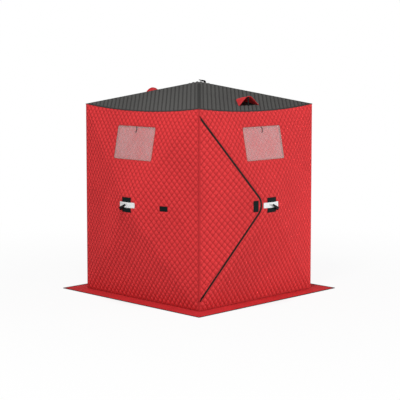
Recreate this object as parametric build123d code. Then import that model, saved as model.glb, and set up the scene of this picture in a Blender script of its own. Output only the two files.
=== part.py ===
from build123d import *
import math
import os

# Pop-up ice fishing shelter: quilted fabric walls and roof pushed out by plastic hubs.
#
# Millimetres.  Origin on the ice under the middle of the shelter, +Z up.  The front
# wall, with the door, faces -Y and the left wall faces -X.  Each wall is modelled
# facing -Y and then turned about Z into its place.

# ---------------------------------------------------------------- walls
WALL_WIDTH = 1540.0          # corner to corner along one wall
CORNER_HEIGHT = 1805.0       # top corners of the walls above the ice
HUB_HEIGHT = 904.0           # middle of each wall hub above the ice
BULGE_DEPTH = 180.0          # how far a hub pushes its wall out
WALL_THICKNESS = 6.0         # quilted fabric
SEAM_SAG = 46.0              # how far a wall's top seam hangs at its middle

# ---------------------------------------------------------------- roof
ROOF_RISE = 213.0            # where the four ridges would meet, above the corners
CAP_DROP = 6.0               # flat top of the roof over its hub, below that
ROOF_THICKNESS = 6.0

# ---------------------------------------------------------------- ground skirt
SKIRT_WIDTH = 165.0          # outwards from the foot of the wall
SKIRT_THICKNESS = 4.0
SKIRT_LAP = 12.0             # inwards under the wall
HEM_WIDTH = 7.0              # dark binding round the skirt
HEM_THICKNESS = 6.0

# ---------------------------------------------------------------- windows
WINDOW_WIDTH = 500.0
WINDOW_DEPTH = 304.0         # along the slope of the wall
WINDOW_DROP = 193.0          # from the corner level down the slope
WINDOW_RADIUS = 12.0
FLAP_LAP = 14.0              # cloth flap behind a window, past its edges
FLAP_THICKNESS = 3.0
PANE_THICKNESS = 2.0
PANE_RECESS = 2.0
TIE_WIDTH = 9.0              # little strap over the top edge of each window
TIE_THICKNESS = 3.0
TIE_DROP = 74.0
TIE_BOW = 16.0
TIE_PLACE = 9.0              # its ends, to the left of the window's middle

# ---------------------------------------------------------------- door
DOOR_DROP = 60.0             # top end of the zip, below the corner of the shelter
DOOR_BOTTOM = 76.0           # bottom end of the zip above the ice
DOOR_POINT = 712.0           # where the two zip runs would meet, from the corner
DOOR_RADIUS = 126.0          # round end of the door
DOOR_GAP = 5.0               # between the door and what it swings past
ZIP_WIDTH = 5.0
ZIP_THICKNESS = 4.0
BEAD_RADIUS = 3.9            # rolled seam on which the door folds
BEAD_INSET = 3.0             # its middle, in from both corner faces
BEAD_FIT = 0.7
FOLD_WIDTH = 11.0            # thin cloth between the rolled seam and the quilting
FOLD_THICKNESS = 2.0
TAB_WIDTH = 56.0             # black tie-back tab on the door
TAB_HEIGHT = 102.0
TAB_THICKNESS = 3.0
TAB_PLACE = 607.0            # its middle, from the corner
TAB_DROP = 2.0               # and below the hubs
STOW_WIDTH = 86.0            # black patch that holds the rolled-up door
STOW_HEIGHT = 46.0
STOW_THICKNESS = 3.0
STOW_PLACE = 375.0           # its middle, from the corner
STOW_DROP = 9.0              # and below the hubs

# ---------------------------------------------------------------- hubs and poles
HUB_RADIUS = 40.0
HUB_THICKNESS = 24.0
HUB_FIT = 0.3                # hub rims and corner sockets to the cloth
POLE_RADIUS = 4.75
POLE_FIT = 0.2
POLE_SEAT = 18.0             # pole ends, from the middle of a hub or corner socket
POLE_BOW = 12.0
CORNER_INSET = 27.0          # corner sockets, in from both walls
CORNER_DROP = 34.0
CORNER_RISE = 32.0
SOCKET_HEIGHT = 38.0
SOCKET_BEVEL = 9.0

# ---------------------------------------------------------------- outside of the hubs
PATCH_WIDTH = 120.0
PATCH_HEIGHT = 137.0
PATCH_THICKNESS = 3.0
STRAP_LENGTH = 202.0         # reflective strap across the patch
STRAP_HEIGHT = 50.0
STRAP_THICKNESS = 2.0
FITTING_OFFSET = 5.0         # patch and strap, towards the hook's side
HOOK_FOOT_OUT = 72.0         # foot of the hook from the middle of the hub
HOOK_FOOT_DOWN = 38.0
HOOK_REACH = 96.0            # foot to tip
HOOK_LIFT = 24.0             # tip in front of the hub
HOOK_KNEE = 5.0              # knee in front of the hub
HOOK_BODY = 20.0             # thickness of the stem and the arm at the knee
HOOK_TIP = 8.0
HOOK_WIDTH = 26.0
HOOK_TIP_WIDTH = 11.0
ROOF_HOOK_OUT = 57.0         # foot of the roof hook from the middle of the roof
ROOF_HOOK_REACH = 58.0

# ---------------------------------------------------------------- roof vents
HOOD_WIDTH = 281.0           # mouth of the hood, foot to foot
HOOD_INSET = 117.0           # its feet, in from the line of the walls
HOOD_LENGTH = 168.0          # its feet back to its point
HOOD_THICKNESS = 4.0
HOOD_LAP = 12.0              # cloth from its inside to its outside at the point
HOOD_CROWN = {"front": 88.0, "back": 141.0}  # its mouth above its feet
HOOD_ROUND = {"front": 83.0, "back": 110.0}  # radius of the mouth at its crown
VENT_WIDTH = 230.0           # opening in the roof under the hood
VENT_INSET = 13.0            # its near edge, in from the feet of the hood
VENT_LENGTH = 120.0
MESH_THICKNESS = 2.0
PROP_WIDTH = 16.0
PROP_THICKNESS = 3.0
PROP_PLACE = 8.0             # prop strap, in from the mouth of the hood

# ---------------------------------------------------------------- worked out
HALF = WALL_WIDTH / 2
HUB_OUT = HALF + BULGE_DEPTH
WALL_FOOT = SKIRT_THICKNESS
DOOR_TOP = CORNER_HEIGHT - DOOR_DROP
PEAK_HEIGHT = CORNER_HEIGHT + ROOF_RISE
CAP_HEIGHT = PEAK_HEIGHT - CAP_DROP
HOOD_FRONT = HALF - HOOD_INSET
HOOD_BACK = HOOD_FRONT - HOOD_LENGTH
VENT_NEAR = HOOD_FRONT - VENT_INSET
VENT_FAR = VENT_NEAR - VENT_LENGTH
REACH = 2.0 * WALL_WIDTH     # larger than anything, for cutting
THROUGH = 2.0 * BULGE_DEPTH  # past any cloth, from either side of it
LONGER = 1.2                 # cutters run on past what they cut
HOOK_ROOT = BULGE_DEPTH / 4  # stems of hooks start inside the cloth, which cuts them off
WALLS = ["front", "right", "back", "left"]
TURN = {wall: 360.0 / len(WALLS) * step for step, wall in enumerate(WALLS)}
HAND = {"front": 1, "right": -1, "back": 1, "left": -1}

SIDE_TILT = math.atan2(BULGE_DEPTH, HALF)
TOP_TILT = math.atan2(BULGE_DEPTH, CORNER_HEIGHT - HUB_HEIGHT)
BOTTOM_TILT = math.atan2(BULGE_DEPTH, HUB_HEIGHT - WALL_FOOT)

TOP_PLANE = Plane(origin=(0, -HALF, CORNER_HEIGHT), x_dir=(1, 0, 0),
                  z_dir=(0, -math.cos(TOP_TILT), math.sin(TOP_TILT)))
BOTTOM_PLANE = Plane(origin=(0, -HALF, WALL_FOOT), x_dir=(1, 0, 0),
                     z_dir=(0, -math.cos(BOTTOM_TILT), -math.sin(BOTTOM_TILT)))
LEFT_PLANE = Plane(origin=(-HALF, -HALF, 0), x_dir=(math.cos(SIDE_TILT), -math.sin(SIDE_TILT), 0),
                   z_dir=(-math.sin(SIDE_TILT), -math.cos(SIDE_TILT), 0))
RIGHT_PLANE = Plane(origin=(HALF, -HALF, 0), x_dir=(math.cos(SIDE_TILT), math.sin(SIDE_TILT), 0),
                    z_dir=(math.sin(SIDE_TILT), -math.cos(SIDE_TILT), 0))


def turned(shape, wall):
    """The shape, modelled on the front wall, on another wall."""
    return Rot(0, 0, TURN[wall]) * shape


def sheet(plane, thickness):
    """A large slab of cloth whose outer face is the plane."""
    return plane * Box(2 * REACH, 2 * REACH, thickness, align=(Align.CENTER, Align.CENTER, Align.MAX))


def seen_outline(*points):
    """A block over an outline of (across, height) points of the front wall."""
    outline = Plane.XZ.offset(HALF / 2) * Polygon(*points, align=None)
    return extrude(outline, amount=HALF + BULGE_DEPTH, dir=(0, -1, 0))


def corner_wedge():
    """The quarter of the ground plan that belongs to the front wall."""
    outline = Polygon((0, 0), (-REACH, -REACH), (REACH, -REACH), align=None)
    return extrude(outline, amount=REACH, dir=(0, 0, 1))


# ---------------------------------------------------------------- roof
def roof_cone(grow, drop):
    """The space under one roof panel: a cone from the peak to the sagging top seam.

    It is grown about the peak, which keeps its slopes, and lowered by the drop.
    """
    deep = REACH / 2
    wide = HALF + deep * math.sin(TOP_TILT)
    seam = ThreePointArc((-HALF, 0), (0, -SEAM_SAG), (HALF, 0))
    rest = Polyline((HALF, 0), (wide, -deep), (-wide, -deep), (-HALF, 0))
    base = TOP_PLANE * make_face([seam, rest])
    cone = loft([base.face(), Vertex(0, 0, PEAK_HEIGHT)], ruled=True)
    return Pos(0, 0, PEAK_HEIGHT * (1 - grow) - drop) * scale(cone, by=grow)


ROOF_OUTSIDE = roof_cone(1.0, 0.0)
UNDER_ROOF = roof_cone(LONGER, ROOF_THICKNESS)
BELOW_CAP = Pos(0, 0, CAP_HEIGHT) * Box(REACH, REACH, REACH, align=(Align.CENTER, Align.CENTER, Align.MAX))


def vent_hole():
    """The tapered opening under a vent hood, right through the roof."""
    half = VENT_WIDTH / 2
    narrow = half * (VENT_FAR - HOOD_BACK) / (VENT_NEAR - HOOD_BACK)
    outline = Polygon((-half, -VENT_NEAR), (half, -VENT_NEAR), (narrow, -VENT_FAR), (-narrow, -VENT_FAR),
                      align=None)
    return extrude(outline, amount=REACH, dir=(0, 0, 1))


def roof_panel():
    """One quarter of the roof, ridge to ridge."""
    return (ROOF_OUTSIDE - UNDER_ROOF) & BELOW_CAP


def roof_slope():
    """Fall of a roof panel down its middle, for each millimetre outwards."""
    seam_height = CORNER_HEIGHT - SEAM_SAG * math.cos(TOP_TILT)
    seam_out = HALF + SEAM_SAG * math.sin(TOP_TILT)
    return (PEAK_HEIGHT - seam_height) / seam_out


def hood_cone(side, wall, lap):
    """Half a cone of cloth, open towards the eaves; wall is taken off its outside and lap off its point."""
    half = HOOD_WIDTH / 2
    rise = HOOD_CROWN[side] - HOOD_ROUND[side]
    slant = math.atan2(rise, half) + math.asin(HOOD_ROUND[side] / math.hypot(rise, half))
    peak = half * math.tan(slant)
    mouth = Plane(origin=(0, -HOOD_FRONT, PEAK_HEIGHT - HOOD_FRONT * roof_slope()), x_dir=(1, 0, 0),
                  z_dir=(0, -1, 0))
    arch = Polygon((-half, 0), (-half, -peak), (half, -peak), (half, 0), (0, peak), align=None)
    arch = fillet(arch.vertices().sort_by(Axis.Y)[-1], HOOD_ROUND[side])
    if wall:
        arch = offset(arch, amount=-wall)
    point = Vector(0, -HOOD_BACK - lap, PEAK_HEIGHT - HOOD_BACK * roof_slope() - ROOF_THICKNESS)
    return loft([(mouth * arch).face(), Vertex(*point)], ruled=True), point


def hood(side):
    """Vent hood: a half-cone of cloth sewn to the roof, and the space inside it."""
    outside, _ = hood_cone(side, 0, 0)
    inside, point = hood_cone(side, HOOD_THICKNESS, HOOD_LAP)
    past_mouth = Pos(point * (1 - LONGER)) * scale(inside, by=LONGER)
    return outside - past_mouth - ROOF_OUTSIDE, inside


def vent_mesh():
    """Mesh that closes the vent opening, half-way through the roof."""
    low = (ROOF_THICKNESS + MESH_THICKNESS) / 2
    return (roof_cone(LONGER, low - MESH_THICKNESS) - roof_cone(LONGER, low)) & vent_hole()


def vent_prop(inside):
    """Strap that holds the mouth of a hood open."""
    blade = Pos(0, -HOOD_FRONT + PROP_PLACE, PEAK_HEIGHT) * Box(PROP_WIDTH, PROP_THICKNESS, REACH)
    return (blade & inside) - ROOF_OUTSIDE


# ---------------------------------------------------------------- walls
ROOF_PANEL = roof_panel()
WEDGE = corner_wedge()
TOP_LEFT = (-HALF, CORNER_HEIGHT)
TOP_RIGHT = (HALF, CORNER_HEIGHT)
FOOT_LEFT = (-HALF, WALL_FOOT)
FOOT_RIGHT = (HALF, WALL_FOOT)
MIDDLE = (0, HUB_HEIGHT)


def window_outline(recess, lap=0.0):
    """Rounded rectangle of a window, in from the outer face of the wall and lap larger all round."""
    rectangle = Rectangle(WINDOW_WIDTH + 2 * lap, WINDOW_DEPTH + 2 * lap)
    rounded = fillet(rectangle.vertices(), WINDOW_RADIUS + lap)
    return TOP_PLANE * Pos(0, -WINDOW_DROP - WINDOW_DEPTH / 2, -recess) * rounded


def top_panel():
    """Triangle from the hub up to the sagging seam, with its window cut through."""
    panel = sheet(TOP_PLANE, WALL_THICKNESS) & seen_outline(MIDDLE, TOP_LEFT, TOP_RIGHT) & WEDGE & UNDER_ROOF
    return panel - extrude(window_outline(0), amount=WALL_THICKNESS, both=True)


def bottom_panel():
    """Triangle from the hub down to the skirt."""
    return sheet(BOTTOM_PLANE, WALL_THICKNESS) & seen_outline(MIDDLE, FOOT_RIGHT, FOOT_LEFT) & WEDGE


def left_panel():
    """Triangle from the hub to the upright corner on the left."""
    panel = sheet(LEFT_PLANE, WALL_THICKNESS) & seen_outline(MIDDLE, FOOT_LEFT, TOP_LEFT) & WEDGE
    return panel - ROOF_PANEL


def right_panel():
    """Triangle from the hub to the upright corner on the right."""
    panel = sheet(RIGHT_PLANE, WALL_THICKNESS) & seen_outline(MIDDLE, TOP_RIGHT, FOOT_RIGHT) & WEDGE
    return panel - ROOF_PANEL


def pane():
    """Clear film closing a window."""
    return extrude(window_outline(PANE_RECESS), amount=-PANE_THICKNESS)


def window_flap():
    """Cloth flap that closes a window from inside."""
    return extrude(window_outline(WALL_THICKNESS, FLAP_LAP), amount=-FLAP_THICKNESS)


def tie():
    """Curved strap hanging over the middle of a window's top edge."""
    inner = TIE_BOW - TIE_WIDTH / 2
    outer = TIE_BOW + TIE_WIDTH / 2
    drop = TIE_DROP / 2
    strip = make_face([
        ThreePointArc((0, drop), (outer, 0), (0, -drop)),
        Line((0, -drop), (-TIE_WIDTH, -drop)),
        ThreePointArc((-TIE_WIDTH, -drop), (inner, 0), (-TIE_WIDTH, drop)),
        Line((-TIE_WIDTH, drop), (0, drop)),
    ])
    return extrude(TOP_PLANE * Pos(-TIE_PLACE, -WINDOW_DROP - drop) * strip, amount=TIE_THICKNESS)


# ---------------------------------------------------------------- skirt
def skirt_strip():
    """Flap of cloth that lies on the ice along one wall."""
    inner = HALF - SKIRT_LAP
    outer = HALF + SKIRT_WIDTH
    outline = Polygon((-inner, -inner), (-outer, -outer), (outer, -outer), (inner, -inner), align=None)
    return extrude(outline, amount=SKIRT_THICKNESS, dir=(0, 0, 1))


def skirt_hem():
    """Binding round the outer edge of the skirt."""
    side = WALL_WIDTH + 2 * SKIRT_WIDTH
    ring = Rectangle(side + 2 * HEM_WIDTH, side + 2 * HEM_WIDTH) - Rectangle(side, side)
    return extrude(ring, amount=HEM_THICKNESS)


# ---------------------------------------------------------------- door
HINGE = Vector(-HALF + BEAD_INSET, -HALF + BEAD_INSET, 0)
ZIP_SLOPE = (DOOR_TOP - DOOR_BOTTOM) / 2 / DOOR_POINT


def door_outline(shrink):
    """Outline of the zip on the left plane: two runs that meet in a round end."""
    over = THROUGH
    corners = Polygon((-over, DOOR_TOP + ZIP_SLOPE * over), (-over, DOOR_BOTTOM - ZIP_SLOPE * over),
                      (DOOR_POINT, (DOOR_TOP + DOOR_BOTTOM) / 2), align=None)
    point = corners.vertices().sort_by(Axis.X)[-1]
    rounded = fillet(point, DOOR_RADIUS)
    return LEFT_PLANE * (offset(rounded, amount=-shrink) if shrink else rounded)


def bead(radius):
    """Rolled seam at the corner, along the edge of the door."""
    return Pos(HINGE.X, HINGE.Y, DOOR_BOTTOM) * Cylinder(radius, DOOR_TOP - DOOR_BOTTOM,
                                                          align=(Align.CENTER, Align.CENTER, Align.MIN))


def past_fold(distance):
    """Everything further from the corner than the distance along the left plane."""
    beyond = Box(REACH, 2 * REACH, REACH, align=(Align.MIN, Align.CENTER, Align.CENTER))
    return LEFT_PLANE * Pos(distance, 0, 0) * beyond


def door_hole():
    """The doorway, out to the outer edge of the zip."""
    return extrude(door_outline(0), amount=THROUGH, both=True)


def door_panel():
    """Quilted leaf, with a thin fold at the corner and the rolled seam it swings on."""
    leaf_block = extrude(door_outline(ZIP_WIDTH + DOOR_GAP), amount=THROUGH, both=True)
    quilt = sheet(LEFT_PLANE, WALL_THICKNESS) & leaf_block & past_fold(FOLD_WIDTH)
    fold = sheet(LEFT_PLANE, FOLD_THICKNESS) & leaf_block & past_fold(BEAD_INSET)
    roll = bead(BEAD_RADIUS) & leaf_span()
    return quilt + fold + roll


def leaf_span():
    """The height of the door at its corner edge."""
    trim = (ZIP_WIDTH + DOOR_GAP) * math.hypot(1, ZIP_SLOPE)
    low = DOOR_BOTTOM + trim
    return Pos(HINGE.X, HINGE.Y, low) * Box(THROUGH, THROUGH, DOOR_TOP - trim - low,
                                            align=(Align.CENTER, Align.CENTER, Align.MIN))


def door_zip():
    """Fixed half of the zip, along the edge of the doorway."""
    inner_edge = extrude(door_outline(ZIP_WIDTH), amount=THROUGH, both=True)
    return (extrude(door_outline(0), amount=-ZIP_THICKNESS) - inner_edge) & past_fold(FOLD_WIDTH)


def door_tab():
    """Tie-back tab sewn to the door near its point."""
    place = LEFT_PLANE * Pos(TAB_PLACE, HUB_HEIGHT - TAB_DROP, 0)
    return place * Box(TAB_WIDTH, TAB_HEIGHT, TAB_THICKNESS, align=(Align.CENTER, Align.CENTER, Align.MIN))


def stow_patch():
    """Patch beside the door's corner, modelled on the right of the front wall."""
    place = RIGHT_PLANE * Pos(-STOW_PLACE, HUB_HEIGHT - STOW_DROP, 0)
    return place * Box(STOW_WIDTH, STOW_HEIGHT, STOW_THICKNESS, align=(Align.CENTER, Align.CENTER, Align.MIN))


# ---------------------------------------------------------------- hub fittings outside
def wall_mass(out):
    """The solid pyramid behind a wall's outer faces, moved outwards."""
    base = Plane.XZ.offset(HALF) * Polygon(FOOT_LEFT, FOOT_RIGHT, TOP_RIGHT, TOP_LEFT, align=None)
    return Pos(0, -out, 0) * loft([base.face(), Vertex(0, -HUB_OUT, HUB_HEIGHT)], ruled=True)


def front_block(width, height):
    """A block across the hub, as seen from outside."""
    return Pos(FITTING_OFFSET, -HUB_OUT, HUB_HEIGHT) * Box(width, BULGE_DEPTH, height)


def hub_patch():
    """Black patch folded over the point of the wall."""
    return (wall_mass(PATCH_THICKNESS) & front_block(PATCH_WIDTH, PATCH_HEIGHT)) - wall_mass(0)


def hub_strap():
    """Reflective strap across the patch and on to the wall at either side."""
    edge = 2 * STRAP_THICKNESS
    over_patch = wall_mass(PATCH_THICKNESS + STRAP_THICKNESS) & front_block(PATCH_WIDTH + edge, STRAP_HEIGHT)
    beyond = wall_mass(STRAP_THICKNESS) & front_block(STRAP_LENGTH, STRAP_HEIGHT)
    return over_patch + beyond - wall_mass(0) - hub_patch()


def hook(plane, reach):
    """Bent hook: a stem up from the plane's origin, and an arm that tapers along its x axis to the tip."""
    half = HOOK_BODY / 2
    profile = make_face(Polyline(
        (-half, -HOOK_ROOT), (-half, HOOK_KNEE), (0, HOOK_KNEE + half), (reach, HOOK_LIFT),
        (reach, HOOK_LIFT - HOOK_TIP), (half, HOOK_KNEE - half / 2), (half, -HOOK_ROOT), (-half, -HOOK_ROOT)))
    blade = extrude(plane * profile, amount=HOOK_WIDTH / 2, both=True)
    side = Plane(origin=plane.origin, x_dir=plane.x_dir, z_dir=-plane.y_dir)
    wide = HOOK_WIDTH / 2
    narrow = HOOK_TIP_WIDTH / 2
    taper = Polygon((-HOOK_BODY, -wide), (half, -wide), (reach, -narrow), (reach, narrow), (half, wide),
                    (-HOOK_BODY, wide), align=None)
    return blade & extrude(side * taper, amount=THROUGH, both=True)


def wall_hook():
    """Hook beside a wall hub."""
    back = Vector(-HOOK_FOOT_OUT, 0, HOOK_FOOT_DOWN).normalized()
    out = Vector(0, -1, 0)
    foot = Vector(HOOK_FOOT_OUT, -HUB_OUT, HUB_HEIGHT - HOOK_FOOT_DOWN)
    plane = Plane(origin=foot, x_dir=back, z_dir=back.cross(out))
    return hook(plane, HOOK_REACH) - wall_mass(0) - hub_strap() - hub_patch()


def roof_hook():
    """Hook beside the top of the roof, on the ridge to the right front corner."""
    back = Vector(-1, 1, 0).normalized()
    foot = back * -ROOF_HOOK_OUT
    plane = Plane(origin=(foot.X, foot.Y, CAP_HEIGHT), x_dir=back, z_dir=back.cross(Vector(0, 0, 1)))
    shape = hook(plane, ROOF_HOOK_REACH)
    for wall in ("front", "right"):
        shape = shape - turned(ROOF_OUTSIDE, wall)
    return shape


# ---------------------------------------------------------------- hubs and poles inside
HUB_FACE = HUB_OUT - WALL_THICKNESS / math.cos(SIDE_TILT) - HUB_RADIUS * math.tan(SIDE_TILT) - HUB_FIT
HUB_CENTRE = Vector(0, -HUB_FACE + HUB_THICKNESS / 2, HUB_HEIGHT)
ROOF_FACE = PEAK_HEIGHT - ROOF_THICKNESS - HUB_RADIUS * roof_slope() - HUB_FIT
ROOF_CENTRE = Vector(0, 0, ROOF_FACE - HUB_THICKNESS / 2)
SOCKET_IN = HALF - CORNER_INSET
SOCKET_RIM = CORNER_RISE - SOCKET_HEIGHT / 2 + SOCKET_BEVEL
SOCKET_RADIUS = ((CORNER_INSET + SOCKET_RIM * math.tan(BOTTOM_TILT)) * math.cos(BOTTOM_TILT)
                 - WALL_THICKNESS - HUB_FIT)
LEFT_TOP = Vector(-SOCKET_IN, -SOCKET_IN, CORNER_HEIGHT - CORNER_DROP)
LEFT_FOOT = Vector(-SOCKET_IN, -SOCKET_IN, WALL_FOOT + CORNER_RISE)


def pole_route(start, end, outward):
    """Middle line of a flexed pole between a hub and a corner socket."""
    along = (end - start).normalized()
    first = start + along * POLE_SEAT
    last = end - along * POLE_SEAT
    return ThreePointArc(first, (first + last) * 0.5 + outward * POLE_BOW, last)


def pole(route):
    """Fibreglass rod along its route."""
    return sweep(Plane(origin=route @ 0, z_dir=route % 0) * Circle(POLE_RADIUS), path=route)


def bores(route):
    """Straight holes for the two ends of a pole, open towards its middle."""
    holes = []
    for end, inwards in ((route @ 0, route % 0), (route @ 1, (route % 1) * -1)):
        mouth = Plane(origin=end, z_dir=inwards)
        holes.append(mouth * Cylinder(POLE_RADIUS + POLE_FIT, 2 * HUB_RADIUS,
                                      align=(Align.CENTER, Align.CENTER, Align.MIN)))
    return holes


def wall_routes():
    """The four poles of a wall, from its hub to its corner sockets."""
    routes = []
    for corner in (LEFT_TOP, LEFT_FOOT):
        for hand in (1, -1):
            end = Vector(hand * corner.X, corner.Y, corner.Z)
            routes.append(pole_route(HUB_CENTRE, end, Vector(0, -1, 0)))
    return routes


def roof_route():
    """The pole under the ridge to the left front corner."""
    return pole_route(ROOF_CENTRE, LEFT_TOP, Vector(0, 0, 1))


def wall_hub():
    """Round hub with a hole for each pole."""
    disc = Pos(HUB_CENTRE) * Rot(90, 0, 0) * Cylinder(HUB_RADIUS, HUB_THICKNESS)
    return disc - [hole for route in wall_routes() for hole in bores(route)]


def roof_hub():
    """Round hub under the middle of the roof."""
    disc = Pos(ROOF_CENTRE) * Cylinder(HUB_RADIUS, HUB_THICKNESS)
    return disc - [turned(hole, wall) for wall in WALLS for hole in bores(roof_route())]


def corner_sockets():
    """Sockets in the eight corners, bored for the poles that meet there."""
    wall_holes = [hole for route in wall_routes() for hole in bores(route)]
    holes = [turned(hole, wall) for wall in ("front", "left") for hole in wall_holes]
    holes += bores(roof_route())
    cup = Cylinder(SOCKET_RADIUS, SOCKET_HEIGHT)
    cup = chamfer(cup.edges().filter_by(GeomType.CIRCLE), SOCKET_BEVEL)
    sockets = [Pos(place) * cup - holes for place in (LEFT_TOP, LEFT_FOOT)]
    return [turned(socket, wall) for wall in WALLS for socket in sockets]


# ---------------------------------------------------------------- files
def solids_of(shape):
    """Every solid of a shape or of a list of shapes."""
    if isinstance(shape, (list, tuple)):
        return [solid for item in shape for solid in solids_of(item)]
    return list(shape.solids())


def save(name, shape):
    """One STEP file for a sub-part."""
    found = solids_of(shape)
    export_step(found[0] if len(found) == 1 else Compound(found), os.path.join("parts", name + ".step"))


def neighbours(wall):
    """The walls on the left and the right of a wall, seen from outside."""
    place = WALLS.index(wall)
    return WALLS[place - 1], WALLS[(place + 1) % len(WALLS)]


def main():
    os.makedirs("parts", exist_ok=True)
    top = top_panel()
    bottom = bottom_panel()
    left = left_panel()
    right = right_panel()
    hood_shapes = {}
    inside_shapes = {}
    for side in HOOD_CROWN:
        hood_shapes[side], inside_shapes[side] = hood(side)
    hole = vent_hole()
    sleeve = bead(BEAD_RADIUS + BEAD_FIT)

    for wall in WALLS:
        to_left, to_right = neighbours(wall)
        save(f"{wall}_wall_top_panel", turned(top, wall))
        save(f"{wall}_wall_bottom_panel", turned(bottom, wall))
        right_side = turned(right, wall) - sleeve
        save(f"{wall}_wall_{to_right}_panel", right_side)
        if wall == "front":
            save("front_wall_door_surround", left - door_hole() - sleeve)
        else:
            save(f"{wall}_wall_{to_left}_panel", turned(left, wall))
        save(f"{wall}_window", turned(pane(), wall))
        quarter = ROOF_PANEL - hole if wall in HOOD_CROWN else ROOF_PANEL
        save(f"{wall}_roof_panel", turned(quarter, wall))
        save(f"{wall}_skirt", turned(skirt_strip(), wall))
        save(f"{wall}_wall_poles", [turned(pole(route), wall) for route in wall_routes()])

    save("skirt_hem", skirt_hem())
    save("door_panel", door_panel())
    save("door_zip", door_zip())
    save("door_tab", door_tab())
    save("door_stow_patch", turned(stow_patch(), "left"))
    save("window_flaps", [turned(window_flap(), wall) for wall in WALLS])
    save("window_ties", [turned(tie(), wall) for wall in WALLS])
    save("wall_hubs", [turned(wall_hub(), wall) for wall in WALLS])
    save("roof_hub", roof_hub())
    save("roof_poles", [turned(pole(roof_route()), wall) for wall in WALLS])
    save("corner_sockets", corner_sockets())

    outside = {"hub_patches": hub_patch(), "hub_straps": hub_strap(), "hub_hooks": wall_hook()}
    for name, shape in outside.items():
        mirrored = mirror(shape, about=Plane.YZ)
        copies = [turned(shape if HAND[wall] > 0 else mirrored, wall) for wall in WALLS]
        if name == "hub_hooks":
            copies.append(roof_hook())
        save(name, copies)

    for side in HOOD_CROWN:
        save(f"{side}_vent_hood", turned(hood_shapes[side], side))
    save("vent_meshes", [turned(vent_mesh(), side) for side in HOOD_CROWN])
    save("vent_props", [turned(vent_prop(inside_shapes[side]), side) for side in HOOD_CROWN])


main()
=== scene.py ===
"""Pop-up ice fishing shelter: quilted cloth walls and roof over flexed poles, on a pale studio floor."""

import math

import bpy
import numpy as np
from bpy.props import FloatProperty, FloatVectorProperty, IntProperty, PointerProperty
from mathutils import Euler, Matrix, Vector


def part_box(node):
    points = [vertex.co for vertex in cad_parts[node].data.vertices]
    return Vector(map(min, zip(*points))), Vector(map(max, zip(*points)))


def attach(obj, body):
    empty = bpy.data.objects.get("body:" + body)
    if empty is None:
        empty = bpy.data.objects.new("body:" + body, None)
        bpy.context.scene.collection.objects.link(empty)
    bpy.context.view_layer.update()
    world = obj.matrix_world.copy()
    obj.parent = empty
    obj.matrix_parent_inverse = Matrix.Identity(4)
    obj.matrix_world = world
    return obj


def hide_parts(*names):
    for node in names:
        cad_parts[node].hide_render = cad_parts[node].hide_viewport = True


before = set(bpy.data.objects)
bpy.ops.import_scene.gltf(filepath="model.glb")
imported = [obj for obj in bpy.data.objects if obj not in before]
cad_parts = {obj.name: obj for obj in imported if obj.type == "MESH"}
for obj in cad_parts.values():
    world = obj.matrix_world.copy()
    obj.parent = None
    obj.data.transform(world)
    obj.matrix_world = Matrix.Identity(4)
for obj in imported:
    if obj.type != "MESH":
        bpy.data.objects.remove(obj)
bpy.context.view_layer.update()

bl_info = {
    "name": "Ice Shelter",
    "version": (1, 0, 0),
    "blender": (4, 5, 0),
    "location": "View3D > Sidebar > Ice Shelter",
    "description": "Dresses a pop-up ice fishing shelter in quilted cloth, zip, windows, vents and fittings",
    "category": "Object",
}

WALLS = ("front", "right", "back", "left")
QUARTER_TURNS = {"front": 0, "right": 1, "back": 2, "left": 3}
HAND = {"front": 1, "right": -1, "back": 1, "left": -1}
PANEL_WORDS = {
    "front": ("front_wall_right_panel", "front_wall_door_surround"),
    "right": ("right_wall_back_panel", "right_wall_front_panel"),
    "back": ("back_wall_left_panel", "back_wall_right_panel"),
    "left": ("left_wall_front_panel", "left_wall_back_panel"),
}
HOOD_CROWN = {"front": 0.088, "back": 0.141}
HOOD_ROUND = {"front": 0.083, "back": 0.110}

# Quilting is flat up to the first distance from a seam or a sewn piece, and full from the second.
CORNER_FADE = (0.005, 0.020)
WALL_SEAM_FADE = (0.003, 0.018)
WINDOW_FADE = (0.006, 0.020)
HUB_PATCH_FADE = (0.000, 0.012)
SMALL_PATCH_FADE = (0.000, 0.010)
DOOR_SEAM_FADE = (0.009, 0.021)
RIDGE_FADE = (0.006, 0.044)
ROOF_SEAM_FADE = (0.002, 0.014)
VENT_FADE = (0.003, 0.014)

PILLOW_SUNK = 0.22        # share of a pillow that lies under the cloth's middle level
DOOR_SEAM_MIDDLE = 0.006  # middle of the zip, inwards from the doorway's outline
LEAF_INSET = 0.0095       # edge of the door's cloth, inwards from the doorway's outline
LEAF_START = 0.0055       # edge of the door's cloth at the corner it folds on
CORNER_SLOT = 0.0058      # cut in the left wall beside the door's piping
ZIP_START = 0.012         # ends of the wall's half of the zip, from the corner
LEAF_ZIP_START = 0.024    # ends of the door's half, which swings past the left wall
PIPING_PLACE = 0.003      # middle of the piping, in from the corner both ways
PIPING_RADIUS = 0.0039
FACING_RADIUS = 0.0052    # arc of the facing round the piping
WINDOW_MARGIN = 0.03      # grid of a window film past its opening
FLAP_HEM = 0.014          # window flap past the opening, on each side
TOOTH_PITCH = 0.003
LAMP_AIM = (0.0, 0.0, 0.95)

WALL_LOW, WALL_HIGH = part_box("front_wall_bottom_panel")
LEAF_LOW, LEAF_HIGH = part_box("door_panel")
STOW_LOW, STOW_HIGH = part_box("door_stow_patch")


def extent(node, axis):
    """Length of a solid of the frame along an axis."""
    low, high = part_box(node)
    return float(high[axis] - low[axis])


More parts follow.
